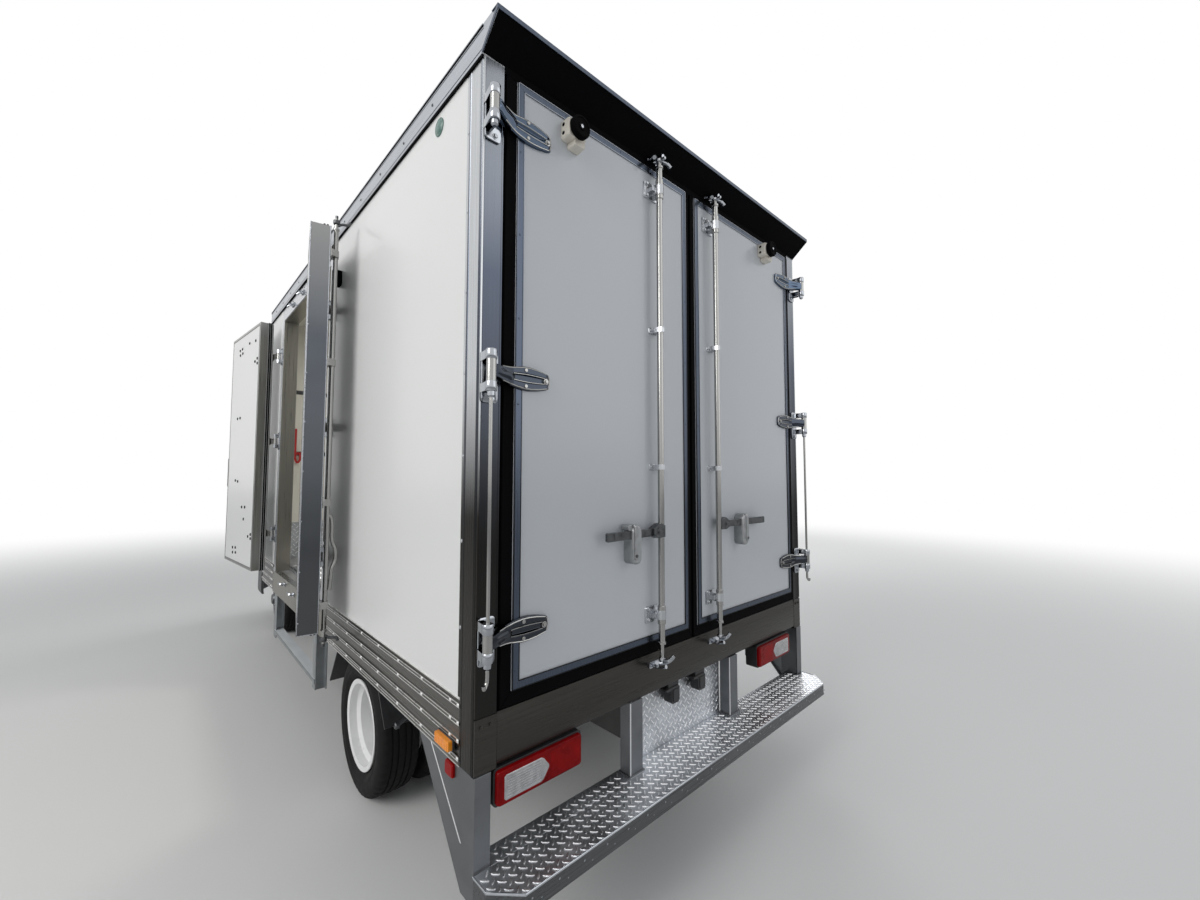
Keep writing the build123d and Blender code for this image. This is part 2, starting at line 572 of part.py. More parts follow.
for name, pin, low, high, strap_end, angle in SIDE_LEAVES:
    with BuildPart() as leaf:
        slab((-BODY_HALF, -BODY_HALF + LEAF_THICK), (low, high), (LEAF_BOTTOM, LEAF_TOP))
        for foot, top in SIDE_HINGES_Z:
            moving = (foot + HINGE_STEP, top - HINGE_STEP)
            edge = low + LEAF_GAP if strap_end > pin[1] else high - LEAF_GAP
            slab(SIDE_STRAP_X, sorted((pin[1], strap_end)), moving)
            slab((SIDE_STRAP_X[1], -BODY_HALF), sorted((edge, strap_end)), moving)
            rod((pin[0], pin[1], moving[0]), (pin[0], pin[1], moving[1]), SIDE_BARREL)
            rod((pin[0], pin[1], foot), (pin[0], pin[1], top), HINGE_PIN_RADIUS + RUNNING, Mode.SUBTRACT)
        if name == "rear":
            rod((SIDE_ROD_X, SIDE_ROD_Y, SIDE_ROD_Z[0]), (SIDE_ROD_X, SIDE_ROD_Y, SIDE_ROD_Z[1]),
                SIDE_ROD_RADIUS)
            for z in SIDE_GUIDES_Z:
                slab(SIDE_GUIDE_X, (SIDE_ROD_Y - SIDE_GUIDE_HALF[0], SIDE_ROD_Y + SIDE_GUIDE_HALF[0]),
                     (z - SIDE_GUIDE_HALF[1], z + SIDE_GUIDE_HALF[1]))
            slab(*SIDE_HANDLE)
            slab(*SIDE_LATCH)
    hinge_axis = Axis((pin[0], REAR + pin[1], 0), (0, 0, 1))
    leaf_open = leaf.part.rotate(hinge_axis, angle)
    save(leaf_open, f"side_door_{name}")

# Rear step: tread with a lip and cut corners, on a lower flange behind the face of its legs
TREAD_Z = (434, 440)
FLANGE_Z = (428, 434)
TREAD_FRONT = 60
TREAD_HALF = 1105
LIP_Z = 380
SHEET = 6
LEG_FACE = -8
OUTER_LEG_X = (BODY_HALF - 56, BODY_HALF - 1)
CORNER_CUT = 82
TREAD_STEP = -14
BETWEEN_LEGS = OUTER_LEG_X[0] - 1
# columns: distance from the middle, place along the truck
TREAD_PLAN = ((TREAD_HALF, TREAD_STEP), (TREAD_HALF, CORNER_CUT - STEP_OVERHANG),
              (TREAD_HALF - CORNER_CUT, -STEP_OVERHANG))
LIP_PLAN = ((TREAD_HALF - SHEET, TREAD_STEP), (TREAD_HALF - SHEET, CORNER_CUT - STEP_OVERHANG + 2),
            (TREAD_HALF - CORNER_CUT - 2, SHEET - STEP_OVERHANG))


def mirrored(half_plan):
    """Closed plan outline from one side's points and their mirror images."""
    return list(half_plan) + [(-x, y) for x, y in reversed(half_plan)]


with BuildPart() as rear_step_tread:
    profile(mirrored(TREAD_PLAN), Plane(origin=(0, REAR, LIP_Z)), TREAD_Z[1] - LIP_Z)
    profile(mirrored(LIP_PLAN), Plane(origin=(0, REAR, LIP_Z)), TREAD_Z[0] - LIP_Z, Mode.SUBTRACT)
    slab((-BETWEEN_LEGS, BETWEEN_LEGS), (TREAD_STEP - SHEET, TREAD_FRONT), FLANGE_Z)
    slab((-BETWEEN_LEGS, BETWEEN_LEGS), (TREAD_STEP - SHEET, TREAD_STEP), (FLANGE_Z[0], TREAD_Z[1]))
    slab((-BETWEEN_LEGS, BETWEEN_LEGS), (TREAD_FRONT - SHEET, TREAD_FRONT), (LIP_Z, FLANGE_Z[1]))
finish(rear_step_tread, "rear_step_tread")

# low and high X of each inner leg
INNER_LEGS = ((-418, -344), (302, 376))
OUTER_LEG_Z = (340, 715.8)
SILL_FOOT = 724.8
FLANGE_DEPTH = 92
PANEL_Y = (TREAD_FRONT - SHEET, TREAD_FRONT)
GUSSET = ((410, SKIRT_BOTTOM - 1), (75, OUTER_LEG_Z[0]), (LEG_FACE, OUTER_LEG_Z[0]),
          (LEG_FACE, SKIRT_BOTTOM - 1))
with BuildPart() as rear_step_brackets:
    for _, side in SIDES:
        profile(GUSSET, side_plane(sided(side, OUTER_LEG_X[1] - SHEET, OUTER_LEG_X[1])[0]), SHEET)
        slab(sided(side, *OUTER_LEG_X), (LEG_FACE, LEG_FACE + SHEET), OUTER_LEG_Z)
        slab(sided(side, OUTER_LEG_X[0], OUTER_LEG_X[0] + SHEET), (LEG_FACE, FLANGE_DEPTH), OUTER_LEG_Z)
    for low, high in INNER_LEGS:
        slab((low, high), (0, SHEET), (FLANGE_Z[1], SILL_FOOT))
        for x in (low, high - SHEET):
            slab((x, x + SHEET), (0, PANEL_Y[1]), (FLANGE_Z[1], SILL_FOOT))
    slab((INNER_LEGS[0][1], INNER_LEGS[1][0]), PANEL_Y, (FLANGE_Z[1], SILL_FOOT))
finish(rear_step_brackets, "rear_step_brackets")

# Tail lamps under the sill
# columns: side, distance from the middle of the inner and outer end
LAMPS = ((-1, 676, 1034), (1, 572, 934))
TAIL_LAMP_Y = (-18, 60)
TAIL_LAMP_Z = (598, 715)
TAIL_LAMP_CORNER = 18
with BuildPart() as tail_lamps:
    for side, low, high in LAMPS:
        slab(sided(side, low, high), TAIL_LAMP_Y, TAIL_LAMP_Z)
    fillet(tail_lamps.edges().filter_by(Axis.Y), TAIL_LAMP_CORNER)
finish(tail_lamps, "tail_lamps")

# Side step below the side doorway
STEP_Y = (1930, 3220)
STEP_X = (-BODY_HALF, -BODY_HALF + 70)
STEP_Z = (400, 420)
STEP_HANGER_Z = (360, 699)
with BuildPart() as side_step:
    slab(STEP_X, STEP_Y, STEP_Z)
    for low in (STEP_Y[0], STEP_Y[1] - SHEET):
        slab(STEP_X, (low, low + SHEET), STEP_HANGER_Z)
finish(side_step, "side_step")

# Refrigeration unit on the front wall, above the cab
UNIT_HALF = 700
UNIT_CORNER = 25
UNIT = ((3844, 2480), (3844, 2990), (4100, 2990), (4225, 2900), (4240, 2560), (4200, 2480))
with BuildPart() as refrigeration_unit:
    profile(UNIT, side_plane(-UNIT_HALF), 2 * UNIT_HALF)
    fillet(refrigeration_unit.edges().filter_by(Axis.X).sort_by(Axis.Y)[-4:], UNIT_CORNER)
finish(refrigeration_unit, "refrigeration_unit")

# Cab: the volume common to a side, a front and a plan outline, at a distance inside the skin
# columns: place along the truck, height
CAB_SIDE = (
    (CAB_REAR, 560), (CAB_REAR, 2160), (CAB_REAR + 110, CAB_TOP), (5140, CAB_TOP), (5330, 2180),
    (5630, 1330), (5710, 1180), (5725, 620), (5130, 620), (5130, 560),
)
# columns: half width, height
CAB_FRONT = ((CAB_HALF, 500), (CAB_HALF, 1380), (830, 2170), (745, CAB_TOP))
PLAN_CORNER = 190
CAB_NOSE = 5740
GLASS_DEPTHS = (14, 20)


def cab_volume(inset):
    with BuildPart() as from_side:
        with BuildSketch(side_plane(-CAB_HALF)):
            with BuildLine():
                Polyline(*CAB_SIDE, close=True)
            make_face()
            if inset:
                offset(amount=-inset, kind=Kind.INTERSECTION, mode=Mode.REPLACE)
        extrude(amount=2 * CAB_HALF)
    with BuildPart() as from_front:
        right = [(half - inset, z - (inset if z == CAB_TOP else 0)) for half, z in CAB_FRONT]
        left = [(-half, z) for half, z in reversed(right)]
        profile(right + left, cross_plane(CAB_REAR - 10), 1800)
    with BuildPart() as from_plan:
        with BuildSketch(Plane(origin=(0, REAR, 500))):
            with BuildLine():
                near = CAB_REAR - 10
                far = CAB_NOSE - inset
                wide = CAB_HALF - inset
                cut = PLAN_CORNER
                Polyline((-wide, far - 2 * cut), (-wide, near), (wide, near), (wide, far - 2 * cut))
                Line((wide, far - 2 * cut), (wide - cut, far - 0.25 * cut))
                Line((wide - cut, far - 0.25 * cut), (wide - 2.5 * cut, far))
                Line((wide - 2.5 * cut, far), (-wide + 2.5 * cut, far))
                Line((-wide + 2.5 * cut, far), (-wide + cut, far - 0.25 * cut))
                Line((-wide + cut, far - 0.25 * cut), (-wide, far - 2 * cut))
            make_face()
        extrude(amount=2000)
    return from_side.part & from_front.part & from_plan.part


cab_outer = cab_volume(0)
cab_inner = cab_volume(CAB_WALL)
glass_outer = cab_volume(GLASS_DEPTHS[0])
glass_inner = cab_volume(GLASS_DEPTHS[1])

FLOOR_PLATE = ((CAB_REAR + 20, 1030), (CAB_REAR + 20, 1065), (4790, 1065), (4790, 880), (5690, 880),
               (5690, 845), (4755, 845), (4755, 1030))
DOOR_OUTLINE = ((4440, 800), (4440, 2110), (5215, 2110), (5470, 1430), (5470, 800))
DOOR_HOLE = ((4435, 795), (4435, 2115), (5231, 2115), (5488, 1434), (5475, 1405), (5475, 795))
DOOR_WINDOW = ((4510, 1400), (4510, 2050), (5165, 2050), (5400, 1400))
WINDSCREEN_X = (-750, 750)
LAMP_X = (480, 812)
LAMP_Y = (5540, 5760)
LAMP_Z = (700, 860)
VALANCE_X = 400
OPEN_BELOW = ((CAB_REAR - 5, 5680), (500, 730))
VALANCE_GAP = ((5600, 5760), (500, 720))
THROUGH_SIDE = (610, 1010)
ARCH_X = (600, 1100)
REAR_WINDOW = ((-520, 520), (CAB_REAR - 10, CAB_REAR + 100), (1500, 1980))
WINDSCREEN_Y = (5200, 5800)
CAB_LUG_HALF = 30
CAB_LUG_TOP = 850
GLASS_GAP = 2
CAB_LUG_X = (345, 368)
DOOR_HINGE = (847, 5480)
DOOR_HINGES_Z = ((930, 980), (1240, 1290))
DOOR_BARREL = 9
DOOR_NOTCH = 5
WINDSCREEN_Z = (1400, 2130)

with BuildPart() as floor_volume:
    profile(FLOOR_PLATE, side_plane(-CAB_HALF + 20), 2 * CAB_HALF - 40)
cab_floor = floor_volume.part & cab_outer

with BuildPart() as cab_shell:
    add(cab_outer)
    add(cab_inner, mode=Mode.SUBTRACT)
    slab((-CAB_HALF + CAB_WALL, CAB_HALF - CAB_WALL), *OPEN_BELOW, Mode.SUBTRACT)
    slab((-VALANCE_X, VALANCE_X), *VALANCE_GAP, Mode.SUBTRACT)
    add(cab_floor)
    for _, side in SIDES:
        profile(DOOR_HOLE, side_plane(sided(side, *THROUGH_SIDE)[0]), THROUGH_SIDE[1] - THROUGH_SIDE[0],
                Mode.SUBTRACT)
        rod((side * ARCH_X[0], FRONT_AXLE, AXLE_HEIGHT), (side * ARCH_X[1], FRONT_AXLE, AXLE_HEIGHT),
            ARCH_RADIUS, Mode.SUBTRACT)
        slab(sided(side, *CAB_LUG_X), (CAB_PIVOT_Y - CAB_LUG_HALF, CAB_PIVOT_Y + CAB_LUG_HALF),
             (CAB_PIVOT_Z - CAB_LUG_HALF, CAB_LUG_TOP))
        rod((side * HINGE_LUG_X[1], CAB_PIVOT_Y, CAB_PIVOT_Z),
            (side * PIVOT_PIN_END, CAB_PIVOT_Y, CAB_PIVOT_Z), PIVOT_PIN + RUNNING, Mode.SUBTRACT)
        slab(sided(side, *LAMP_X), LAMP_Y, LAMP_Z, Mode.SUBTRACT)
        for low, high in DOOR_HINGES_Z:
            rod((side * DOOR_HINGE[0], DOOR_HINGE[1], low), (side * DOOR_HINGE[0], DOOR_HINGE[1], high),
                DOOR_BARREL)
    slab(WINDSCREEN_X, WINDSCREEN_Y, WINDSCREEN_Z, Mode.SUBTRACT)
    slab(*REAR_WINDOW, Mode.SUBTRACT)
finish(cab_shell, "cab_shell")

glass_shell = glass_outer - glass_inner


def smaller(limits):
    return (limits[0] + GLASS_GAP, limits[1] - GLASS_GAP)


with BuildPart() as windscreen_hole:
    slab(smaller(WINDSCREEN_X), WINDSCREEN_Y, smaller(WINDSCREEN_Z))
with BuildPart() as rear_window_hole:
    slab(smaller(REAR_WINDOW[0]), REAR_WINDOW[1], smaller(REAR_WINDOW[2]))
with BuildPart() as cab_glass:
    add(glass_shell & windscreen_hole.part)
    add(glass_shell & rear_window_hole.part)
finish(cab_glass, "cab_glass")

# Cab doors, cut from the same skin, and their glass
for name, side in SIDES:
    with BuildPart() as door_volume:
        profile(DOOR_OUTLINE, side_plane(sided(side, *THROUGH_SIDE)[0]), THROUGH_SIDE[1] - THROUGH_SIDE[0])
    with BuildPart() as window_volume:
        profile(DOOR_WINDOW, side_plane(sided(side, *THROUGH_SIDE)[0]), THROUGH_SIDE[1] - THROUGH_SIDE[0])
    skin = (cab_outer - cab_inner) & door_volume.part
    with BuildPart() as cab_door:
        add(skin)
        add(window_volume.part, mode=Mode.SUBTRACT)
        for low, high in DOOR_HINGES_Z:
            rod((side * DOOR_HINGE[0], DOOR_HINGE[1], low - DOOR_NOTCH),
                (side * DOOR_HINGE[0], DOOR_HINGE[1], high + DOOR_NOTCH),
                DOOR_BARREL + DOOR_NOTCH, Mode.SUBTRACT)
    finish(cab_door, f"cab_door_{name}")
    with BuildPart() as door_glass:
        add(glass_shell & window_volume.part)
    finish(door_glass, f"door_glass_{name}")

# Dashboard with the steering wheel on the right
WHEEL_CENTRE = (440, 5190, 1330)
WHEEL_TILT = 35
WHEEL_RIM = (200, 15)
WHEEL_HUB = (45, 30)
WHEEL_SPOKE = (400, 30, 16)
COLUMN_RADIUS = 28
COLUMN_LENGTH = 230
DASH_HALF = 720
DASH = ((5320, 900), (5320, 1180), (5280, 1300), (5420, 1360), (5560, 1345), (5560, 900))
with BuildPart() as dashboard:
    profile(DASH, side_plane(-DASH_HALF), 2 * DASH_HALF)
    tilt = math.radians(WHEEL_TILT)
    normal = Vector(0, -math.cos(tilt), math.sin(tilt))
    centre = Vector(WHEEL_CENTRE[0], REAR + WHEEL_CENTRE[1], WHEEL_CENTRE[2])
    with Locations(Plane(origin=centre, z_dir=normal)):
        Torus(*WHEEL_RIM)
        Cylinder(*WHEEL_HUB)
        Box(*WHEEL_SPOKE)
    with BuildSketch(Plane(origin=centre, z_dir=-normal)):
        Circle(COLUMN_RADIUS)
    extrude(amount=COLUMN_LENGTH)
finish(dashboard, "dashboard")

# Seats: a cushion and a back for each of three places on the raised floor
SEATS_X = (-510, 0, 510)
SEAT_HALF = 240
CUSHION = ((4240, 1066), (4240, 1200), (4760, 1225), (4770, 1066))
SEAT_BACK = ((4110, 1210), (4120, 1830), (4205, 1830), (4238, 1210))
with BuildPart() as seats:
    for x in SEATS_X:
        for outline in (CUSHION, SEAT_BACK):
            profile(outline, side_plane(x - SEAT_HALF), 2 * SEAT_HALF)
finish(seats, "seats")

# Headlamps set into the cab's front corners
with BuildPart() as lamp_volume:
    for _, side in SIDES:
        slab(sided(side, LAMP_X[0] + 1, LAMP_X[1] - 1), LAMP_Y, (LAMP_Z[0] + 1, LAMP_Z[1] - 1))
with BuildPart() as headlamps:
    add(lamp_volume.part & (cab_outer - cab_inner))
finish(headlamps, "headlamps")

# Mirrors: two arms and a head on each front corner of the cab
MIRROR_OUT = 1220.7
# columns: range outward, range along the truck, height range of the head, the arms, their post and the foot
MIRROR = (
    ((1055, MIRROR_OUT), (5560, 5620), (1480, 1860)),
    ((895, 1065), (5580, 5600), (1780, 1800)),
    ((895, 1065), (5580, 5600), (1520, 1540)),
    ((895, 915), (5580, 5600), (1520, 1800)),
    ((800, 915), (5505, 5600), (1515, 1545)),
)
with BuildPart() as mirrors:
    for _, side in SIDES:
        for outward, along, height in MIRROR:
            slab(sided(side, *outward), along, height)
    add(cab_outer, mode=Mode.SUBTRACT)
finish(mirrors, "mirrors")

# Front bumper: wraps round the cab's front corners below its skin, with a raised panel in the middle
BUMPER_Z = (300, 568)
BUMPER_REAR = 5250
BUMPER_THICK = 60
VALANCE_TOP = 700
VALANCE_THICK = 30


def bumper_outline(inset):
    front = OVERALL_LENGTH - STEP_OVERHANG - inset
    wide = CAB_HALF - inset
    rear = BUMPER_REAR - (20 if inset else 0)
    return [(-wide, rear), (-wide, front - 330), (-wide + 150, front - 60), (-wide + 420, front),
            (wide - 420, front), (wide - 150, front - 60), (wide, front - 330), (wide, rear)]


with BuildPart() as front_bumper:
    plan = Plane(origin=(0, REAR, BUMPER_Z[0]))
    profile(bumper_outline(0), plan, BUMPER_Z[1] - BUMPER_Z[0])
    profile(bumper_outline(BUMPER_THICK), plan, BUMPER_Z[1] - BUMPER_Z[0], Mode.SUBTRACT)
    front = OVERALL_LENGTH - STEP_OVERHANG
    slab((20 - VALANCE_X, VALANCE_X - 20), (front - VALANCE_THICK, front), (BUMPER_Z[1] - 1, VALANCE_TOP))
    for _, side in SIDES:
        slab(sided(side, *TOW_LUG_X), (CHASSIS_FRONT, 5750), (525, 567))
finish(front_bumper, "front_bumper")
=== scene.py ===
import bmesh
import bpy
import math
from mathutils import Matrix, Vector


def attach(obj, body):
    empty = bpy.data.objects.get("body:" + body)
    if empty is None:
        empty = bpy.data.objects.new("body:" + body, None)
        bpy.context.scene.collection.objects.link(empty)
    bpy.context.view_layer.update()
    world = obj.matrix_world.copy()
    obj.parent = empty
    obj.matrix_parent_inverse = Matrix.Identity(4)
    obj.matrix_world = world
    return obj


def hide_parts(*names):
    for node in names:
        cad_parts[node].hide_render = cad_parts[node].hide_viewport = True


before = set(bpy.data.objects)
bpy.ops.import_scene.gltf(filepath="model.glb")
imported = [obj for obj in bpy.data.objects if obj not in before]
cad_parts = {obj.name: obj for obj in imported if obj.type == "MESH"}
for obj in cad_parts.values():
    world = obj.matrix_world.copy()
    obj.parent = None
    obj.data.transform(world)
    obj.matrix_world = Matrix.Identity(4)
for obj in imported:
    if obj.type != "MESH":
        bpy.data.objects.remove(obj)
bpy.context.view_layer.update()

# Refrigerated truck. Shapes are written in millimetres, with X to the right of the truck's centre
# line, Z up from the ground, and Y measured forward from the rear door frame. In the shared frame the
# centre line stands at MIDDLE and the rear door frame at REAR.
REAR = -2816.5
MIDDLE = 58
MM = 0.001
SIDES = (("left", -1), ("right", 1))
BOTH = (-1, 1)


# Mesh building

class Shape:
    """Closed solids gathered in millimetres.

    Side -1 mirrors what is added to the truck's left. A loop over the side of a shape adds the same
    solids on both sides.
    """

    def __init__(self, side=1, turn=Matrix()):
        self.points, self.faces = [], []
        self.side, self.turn = side, turn

    def loft(self, rings, loop=False):
        """Skin over rings of the same number of points, with closed ends or round in a loop."""
        start, count = len(self.points), len(rings[0])
        for point in [p for ring in rings for p in ring]:
            x, y, z = self.turn @ Vector(point)
            self.points.append(((self.side * x + MIDDLE) * MM, (y + REAR) * MM, z * MM))
        for r in range(len(rings) if loop else len(rings) - 1):
            near, far = start + r * count, start + (r + 1) % len(rings) * count
            for i in range(count):
                j = (i + 1) % count
                self.faces.append((near + i, near + j, far + j, far + i))
        if not loop:
            for first in (start, start + (len(rings) - 1) * count):
                self.faces.append(tuple(range(first, first + count)))
        return self

    def box(self, x, y, z):
        return self.prism(corners((x[0], y[0]), (x[1], y[1])), "z", *z)

    def prism(self, outline, axis, *levels):
        """Outline pushed along an axis: (Y, Z) points for x, (X, Z) for y, (X, Y) for z.

        A level is a distance along the axis, or that with the scale of the outline about its middle.
        """
        middle = [sum(p[k] for p in outline) / len(outline) for k in (0, 1)]
        rings = []
        for level in levels:
            at, scale = level if isinstance(level, tuple) else (level, 1)
            ring = [[m + (v - m) * scale for v, m in zip(p, middle)] for p in outline]
            rings.append([placed(axis, at, a, b) for a, b in ring])
        return self.loft(rings)

    def plate(self, low, high, radius, axis, *levels):
        """Rectangle with rounded corners pushed along an axis."""
        return self.prism(rounded(low, high, radius), axis, *levels)

    def lathe(self, outline, centre, axis, steps=64, spoil=None):
        """Outline of (distance along the axis, radius) points turned about the axis."""
        rings = []
        for step in range(steps):
            points = [spoil(*p, step) for p in outline] if spoil else outline
            rings.append([around(centre, axis, along, radius, step / steps) for along, radius in points])
        return self.loft(rings, loop=True)

    def disc(self, centre, axis, radius, levels, steps=24):
        """Round solid: levels are (distance along the axis, share of the radius)."""
        return self.loft([[around(centre, axis, along, radius * share, (step + 0.5) / steps)
                           for step in range(steps)] for along, share in levels])

    def rivet(self, centre, axis, radius, height):
        return self.disc(centre, axis, radius, ((0, 1), (height * 0.6, 0.88), (height, 0.45)), 10)

    def bolt(self, centre, axis, radius, height):
        """Hexagon head on a washer, pointing along the axis (a negative height turns it round)."""
        self.disc(centre, axis, radius * 1.5, ((0, 1), (height * 0.25, 1), (height * 0.28, 0.9)), 14)
        return self.disc(centre, axis, radius, ((height * 0.25, 1), (height * 0.9, 1), (height, 0.85)), 6)

    def tube(self, path, radius, steps=14):
        """Round bar through the points of a path."""
        points = [Vector(p) for p in path]
        turns = [2 * math.pi * s / steps for s in range(steps)]
        rings = []
        side = None
        for i, point in enumerate(points):
            ahead = points[min(i + 1, len(points) - 1)] - points[max(i - 1, 0)]
            ahead.normalize()
            side = side or Vector((0, 0, 1) if abs(ahead.z) < 0.9 else (1, 0, 0))
            side = (side - ahead * side.dot(ahead)).normalized()
            other = ahead.cross(side)
            rings.append([point + radius * (math.cos(t) * side + math.sin(t) * other) for t in turns])
        return self.loft(rings)

    def bezel(self, outer, inner, way, out, depth, lip=0.4):
        """Frame between two loops of points, from depth below them to out above them along way."""
        way = Vector(way)
        rings = []
        for a, b in zip(outer, inner):
            levels = ((a, out * lip), (a, -depth), (b, -depth), (b, out))
            rings.append([Vector(p) + way * level for p, level in levels])
        return self.loft(rings, loop=True)

    def wrapped(self, path, section):
        """Section of (distance to the left, height) points carried along a path of (X, Y) points."""
        rings = []
        for i, (x, y) in enumerate(path):
            ways = [Vector((b[0] - a[0], b[1] - a[1])).normalized()
                    for a, b in zip(path[max(i - 1, 0):i + 1], path[max(i - 1, 0) + 1:i + 2])]
            way = sum(ways, Vector((0, 0))).normalized()
            reach = 1 / max(0.3, way.dot(ways[0]))
            rings.append([(x - way.y * d * reach, y + way.x * d * reach, z) for d, z in section])
        return self.loft(rings)

    def mitred(self, outer, inner, axis, *levels):
        """Four bars between the corners of two rectangles."""
        for i in range(4):
            self.prism((outer[i], outer[i - 1], inner[i - 1], inner[i]), axis, *levels)
        return self

    def sector(self, outline, centre, low, high, steps):
        """Part of a ring about X between two angles, closed at both ends."""
        turns = [(low + (high - low) * step / steps) / 360 for step in range(steps + 1)]
        return self.loft([[around(centre, "x", a, r, turn) for a, r in outline] for turn in turns])


def placed(axis, along, a, b):
    return {"x": (along, a, b), "y": (a, along, b), "z": (a, b, along)}[axis]


def around(centre, axis, along, radius, turn):
    """Point at a radius from an axis through a centre, at a share of a full turn."""
    angle = 2 * math.pi * turn
    offset = placed(axis, along, radius * math.cos(angle), radius * math.sin(angle))
    return [c + d for c, d in zip(centre, offset)]


def corners(low, high, inset=0):
    return ((low[0] + inset, low[1] + inset), (high[0] - inset, low[1] + inset),
            (high[0] - inset, high[1] - inset), (low[0] + inset, high[1] - inset))


def rounded(low, high, radius, steps=5):
    """Rectangle outline with rounded corners between two corner points."""
    outline = []
    middles = corners(low, high, radius)
    for (cx, cy), start in zip((middles[2], middles[3], middles[0], middles[1]), (0, 90, 180, 270)):
        for step in range(steps + 1):
            angle = math.radians(start + 90 * step / steps)
            outline.append((cx + radius * math.cos(angle), cy + radius * math.sin(angle)))
    return outline


def curve(points, steps=8):
    """Smooth path through points."""
    out = []
    p = [Vector(v) for v in (points[0],) + tuple(points) + (points[-1],)]
    for i in range(1, len(p) - 2):
        for s in range(steps):
            t = s / steps
            out.append(0.5 * ((2 * p[i]) + (p[i + 1] - p[i - 1]) * t
                              + (2 * p[i - 1] - 5 * p[i] + 4 * p[i + 1] - p[i + 2]) * t * t
                              + (3 * p[i] - p[i - 1] - 3 * p[i + 1] + p[i + 2]) * t ** 3))
    out.append(p[-2])
    return out


def linked(name, data):
    made = bpy.data.objects.new(name, data)
    bpy.context.scene.collection.objects.link(made)
    return made


def piece(name, shape, material, bevel=0, body="chassis", slot=None, replaces=(), smooth=32):
    """Object of a shape. The slot of its material, or another one given, is looked up but not given to the
    object.
    """
    mesh = bpy.data.meshes.new(name)
    mesh.from_pydata(shape.points, [], shape.faces)
    mesh.materials.append(material)
    work = bmesh.new()
    work.from_mesh(mesh)
    bmesh.ops.recalc_face_normals(work, faces=work.faces)
    work.to_mesh(mesh)
    work.free()
    mesh.polygons.foreach_set("use_smooth", [True] * len(mesh.polygons))
    mesh.set_sharp_from_angle(angle=math.radians(smooth))
    made = linked(name, mesh)
    if bevel:
        modifier = made.modifiers.new("Bevel", "BEVEL")
        modifier.width = bevel * MM
        modifier.segments = 2
        modifier.limit_method = "ANGLE"
        modifier.angle_limit = math.radians(40)
        modifier.harden_normals = True
    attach(made, body)
    slot or SLOT_OF[material]
    if replaces:
        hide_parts(*replaces)
    return made


# Materials

def joined(links, *pairs):
    """Links each output to the input that follows it."""
    for output, socket in zip(pairs[::2], pairs[1::2]):
        links.new(output, socket)


def node(nodes, kind, operation=None, **values):
    made = nodes.new("ShaderNode" + kind)
    if operation:
        made.operation = operation
    for socket, value in values.items():
        made.inputs[socket.replace("_", " ")].default_value = value
    return made


def surface(name, colour, rough, metal=0.0, grain=6, tint=0.06, swing=0.08, bump=0.0,
            fine=None, dirt=0.0, foot=None, crown=None, **sockets):
    """Principled surface whose colour, roughness and height vary with noise in the truck's own frame.

    grain is the noise's scale per metre, one number or one for each of X, Y and Z, and fine a second,
    smaller grain for the bump. dirt darkens the surface towards the ground. foot is (colour, low Z,
    high Z): the surface has that colour below low and its own above high. crown is the same for the top.
    The metals use foot and crown as a painted reflection: a darker foot for the ground, a lighter crown
    for the sky.
    """
    made = bpy.data.materials.new(name)
    made.use_nodes = True
    nodes, links = made.node_tree.nodes, made.node_tree.links
    shader = nodes["Principled BSDF"]
    shader.inputs["Metallic"].default_value = metal
    for socket, value in sockets.items():
        shader.inputs[socket.replace("_", " ")].default_value = value
    place = nodes.new("ShaderNodeTexCoord").outputs["Object"]
    if foot or crown or dirt:
        split = nodes.new("ShaderNodeSeparateXYZ")
        links.new(place, split.inputs["Vector"])
        level = split.outputs["Z"]

    def noise(scale, detail=4):
        stretch = node(nodes, "Mapping", Scale=scale if isinstance(scale, tuple) else (scale,) * 3)
        texture = node(nodes, "TexNoise", Scale=1, Detail=detail)
        joined(links, place, stretch.inputs["Vector"], stretch.outputs["Vector"], texture.inputs["Vector"])
        return texture.outputs["Fac"]

    def blend(low, high, factor):
        mix = nodes.new("ShaderNodeMix")
        mix.data_type = "RGBA"
        for socket, value in ((mix.inputs[6], low), (mix.inputs[7], high), (mix.inputs[0], factor)):
            if isinstance(value, tuple):
                socket.default_value = value
            else:
                links.new(value, socket)
        return mix.outputs[2]

    def ranged(value, low, high, start=0.3, end=0.7):
        remap = node(nodes, "MapRange", From_Min=start, From_Max=end, To_Min=low, To_Max=high)
        links.new(value, remap.inputs["Value"])
        return remap.outputs["Result"]

    broad = noise(grain)
    dark, light = [tuple(min(1, max(0, c * (1 + t))) for c in colour) + (1,) for t in (-tint, tint)]
    tone = blend(dark, light, ranged(broad, 0, 1))
    if foot:
        tone = blend(foot[0] + (1,), tone, ranged(level, 0, 1, *foot[1:]))
    if crown:
        tone = blend(tone, crown[0] + (1,), ranged(level, 0, 1, *crown[1:]))
    if dirt:
        patch = node(nodes, "Math", "MULTIPLY")
        joined(links, ranged(level, dirt, 0, 0.2, 1.1), patch.inputs[0],
               ranged(noise(9, 6), 0.3, 1), patch.inputs[1])
        tone = blend(tone, (0.17, 0.155, 0.135, 1), patch.outputs["Value"])
    joined(links, tone, shader.inputs["Base Color"],
           ranged(broad, max(0.02, rough - swing), rough + swing), shader.inputs["Roughness"])
    if bump:
        height = node(nodes, "Bump", Strength=bump, Distance=0.001)
        joined(links, noise(fine or grain, 3), height.inputs["Height"],
               height.outputs["Normal"], shader.inputs["Normal"])
    return made


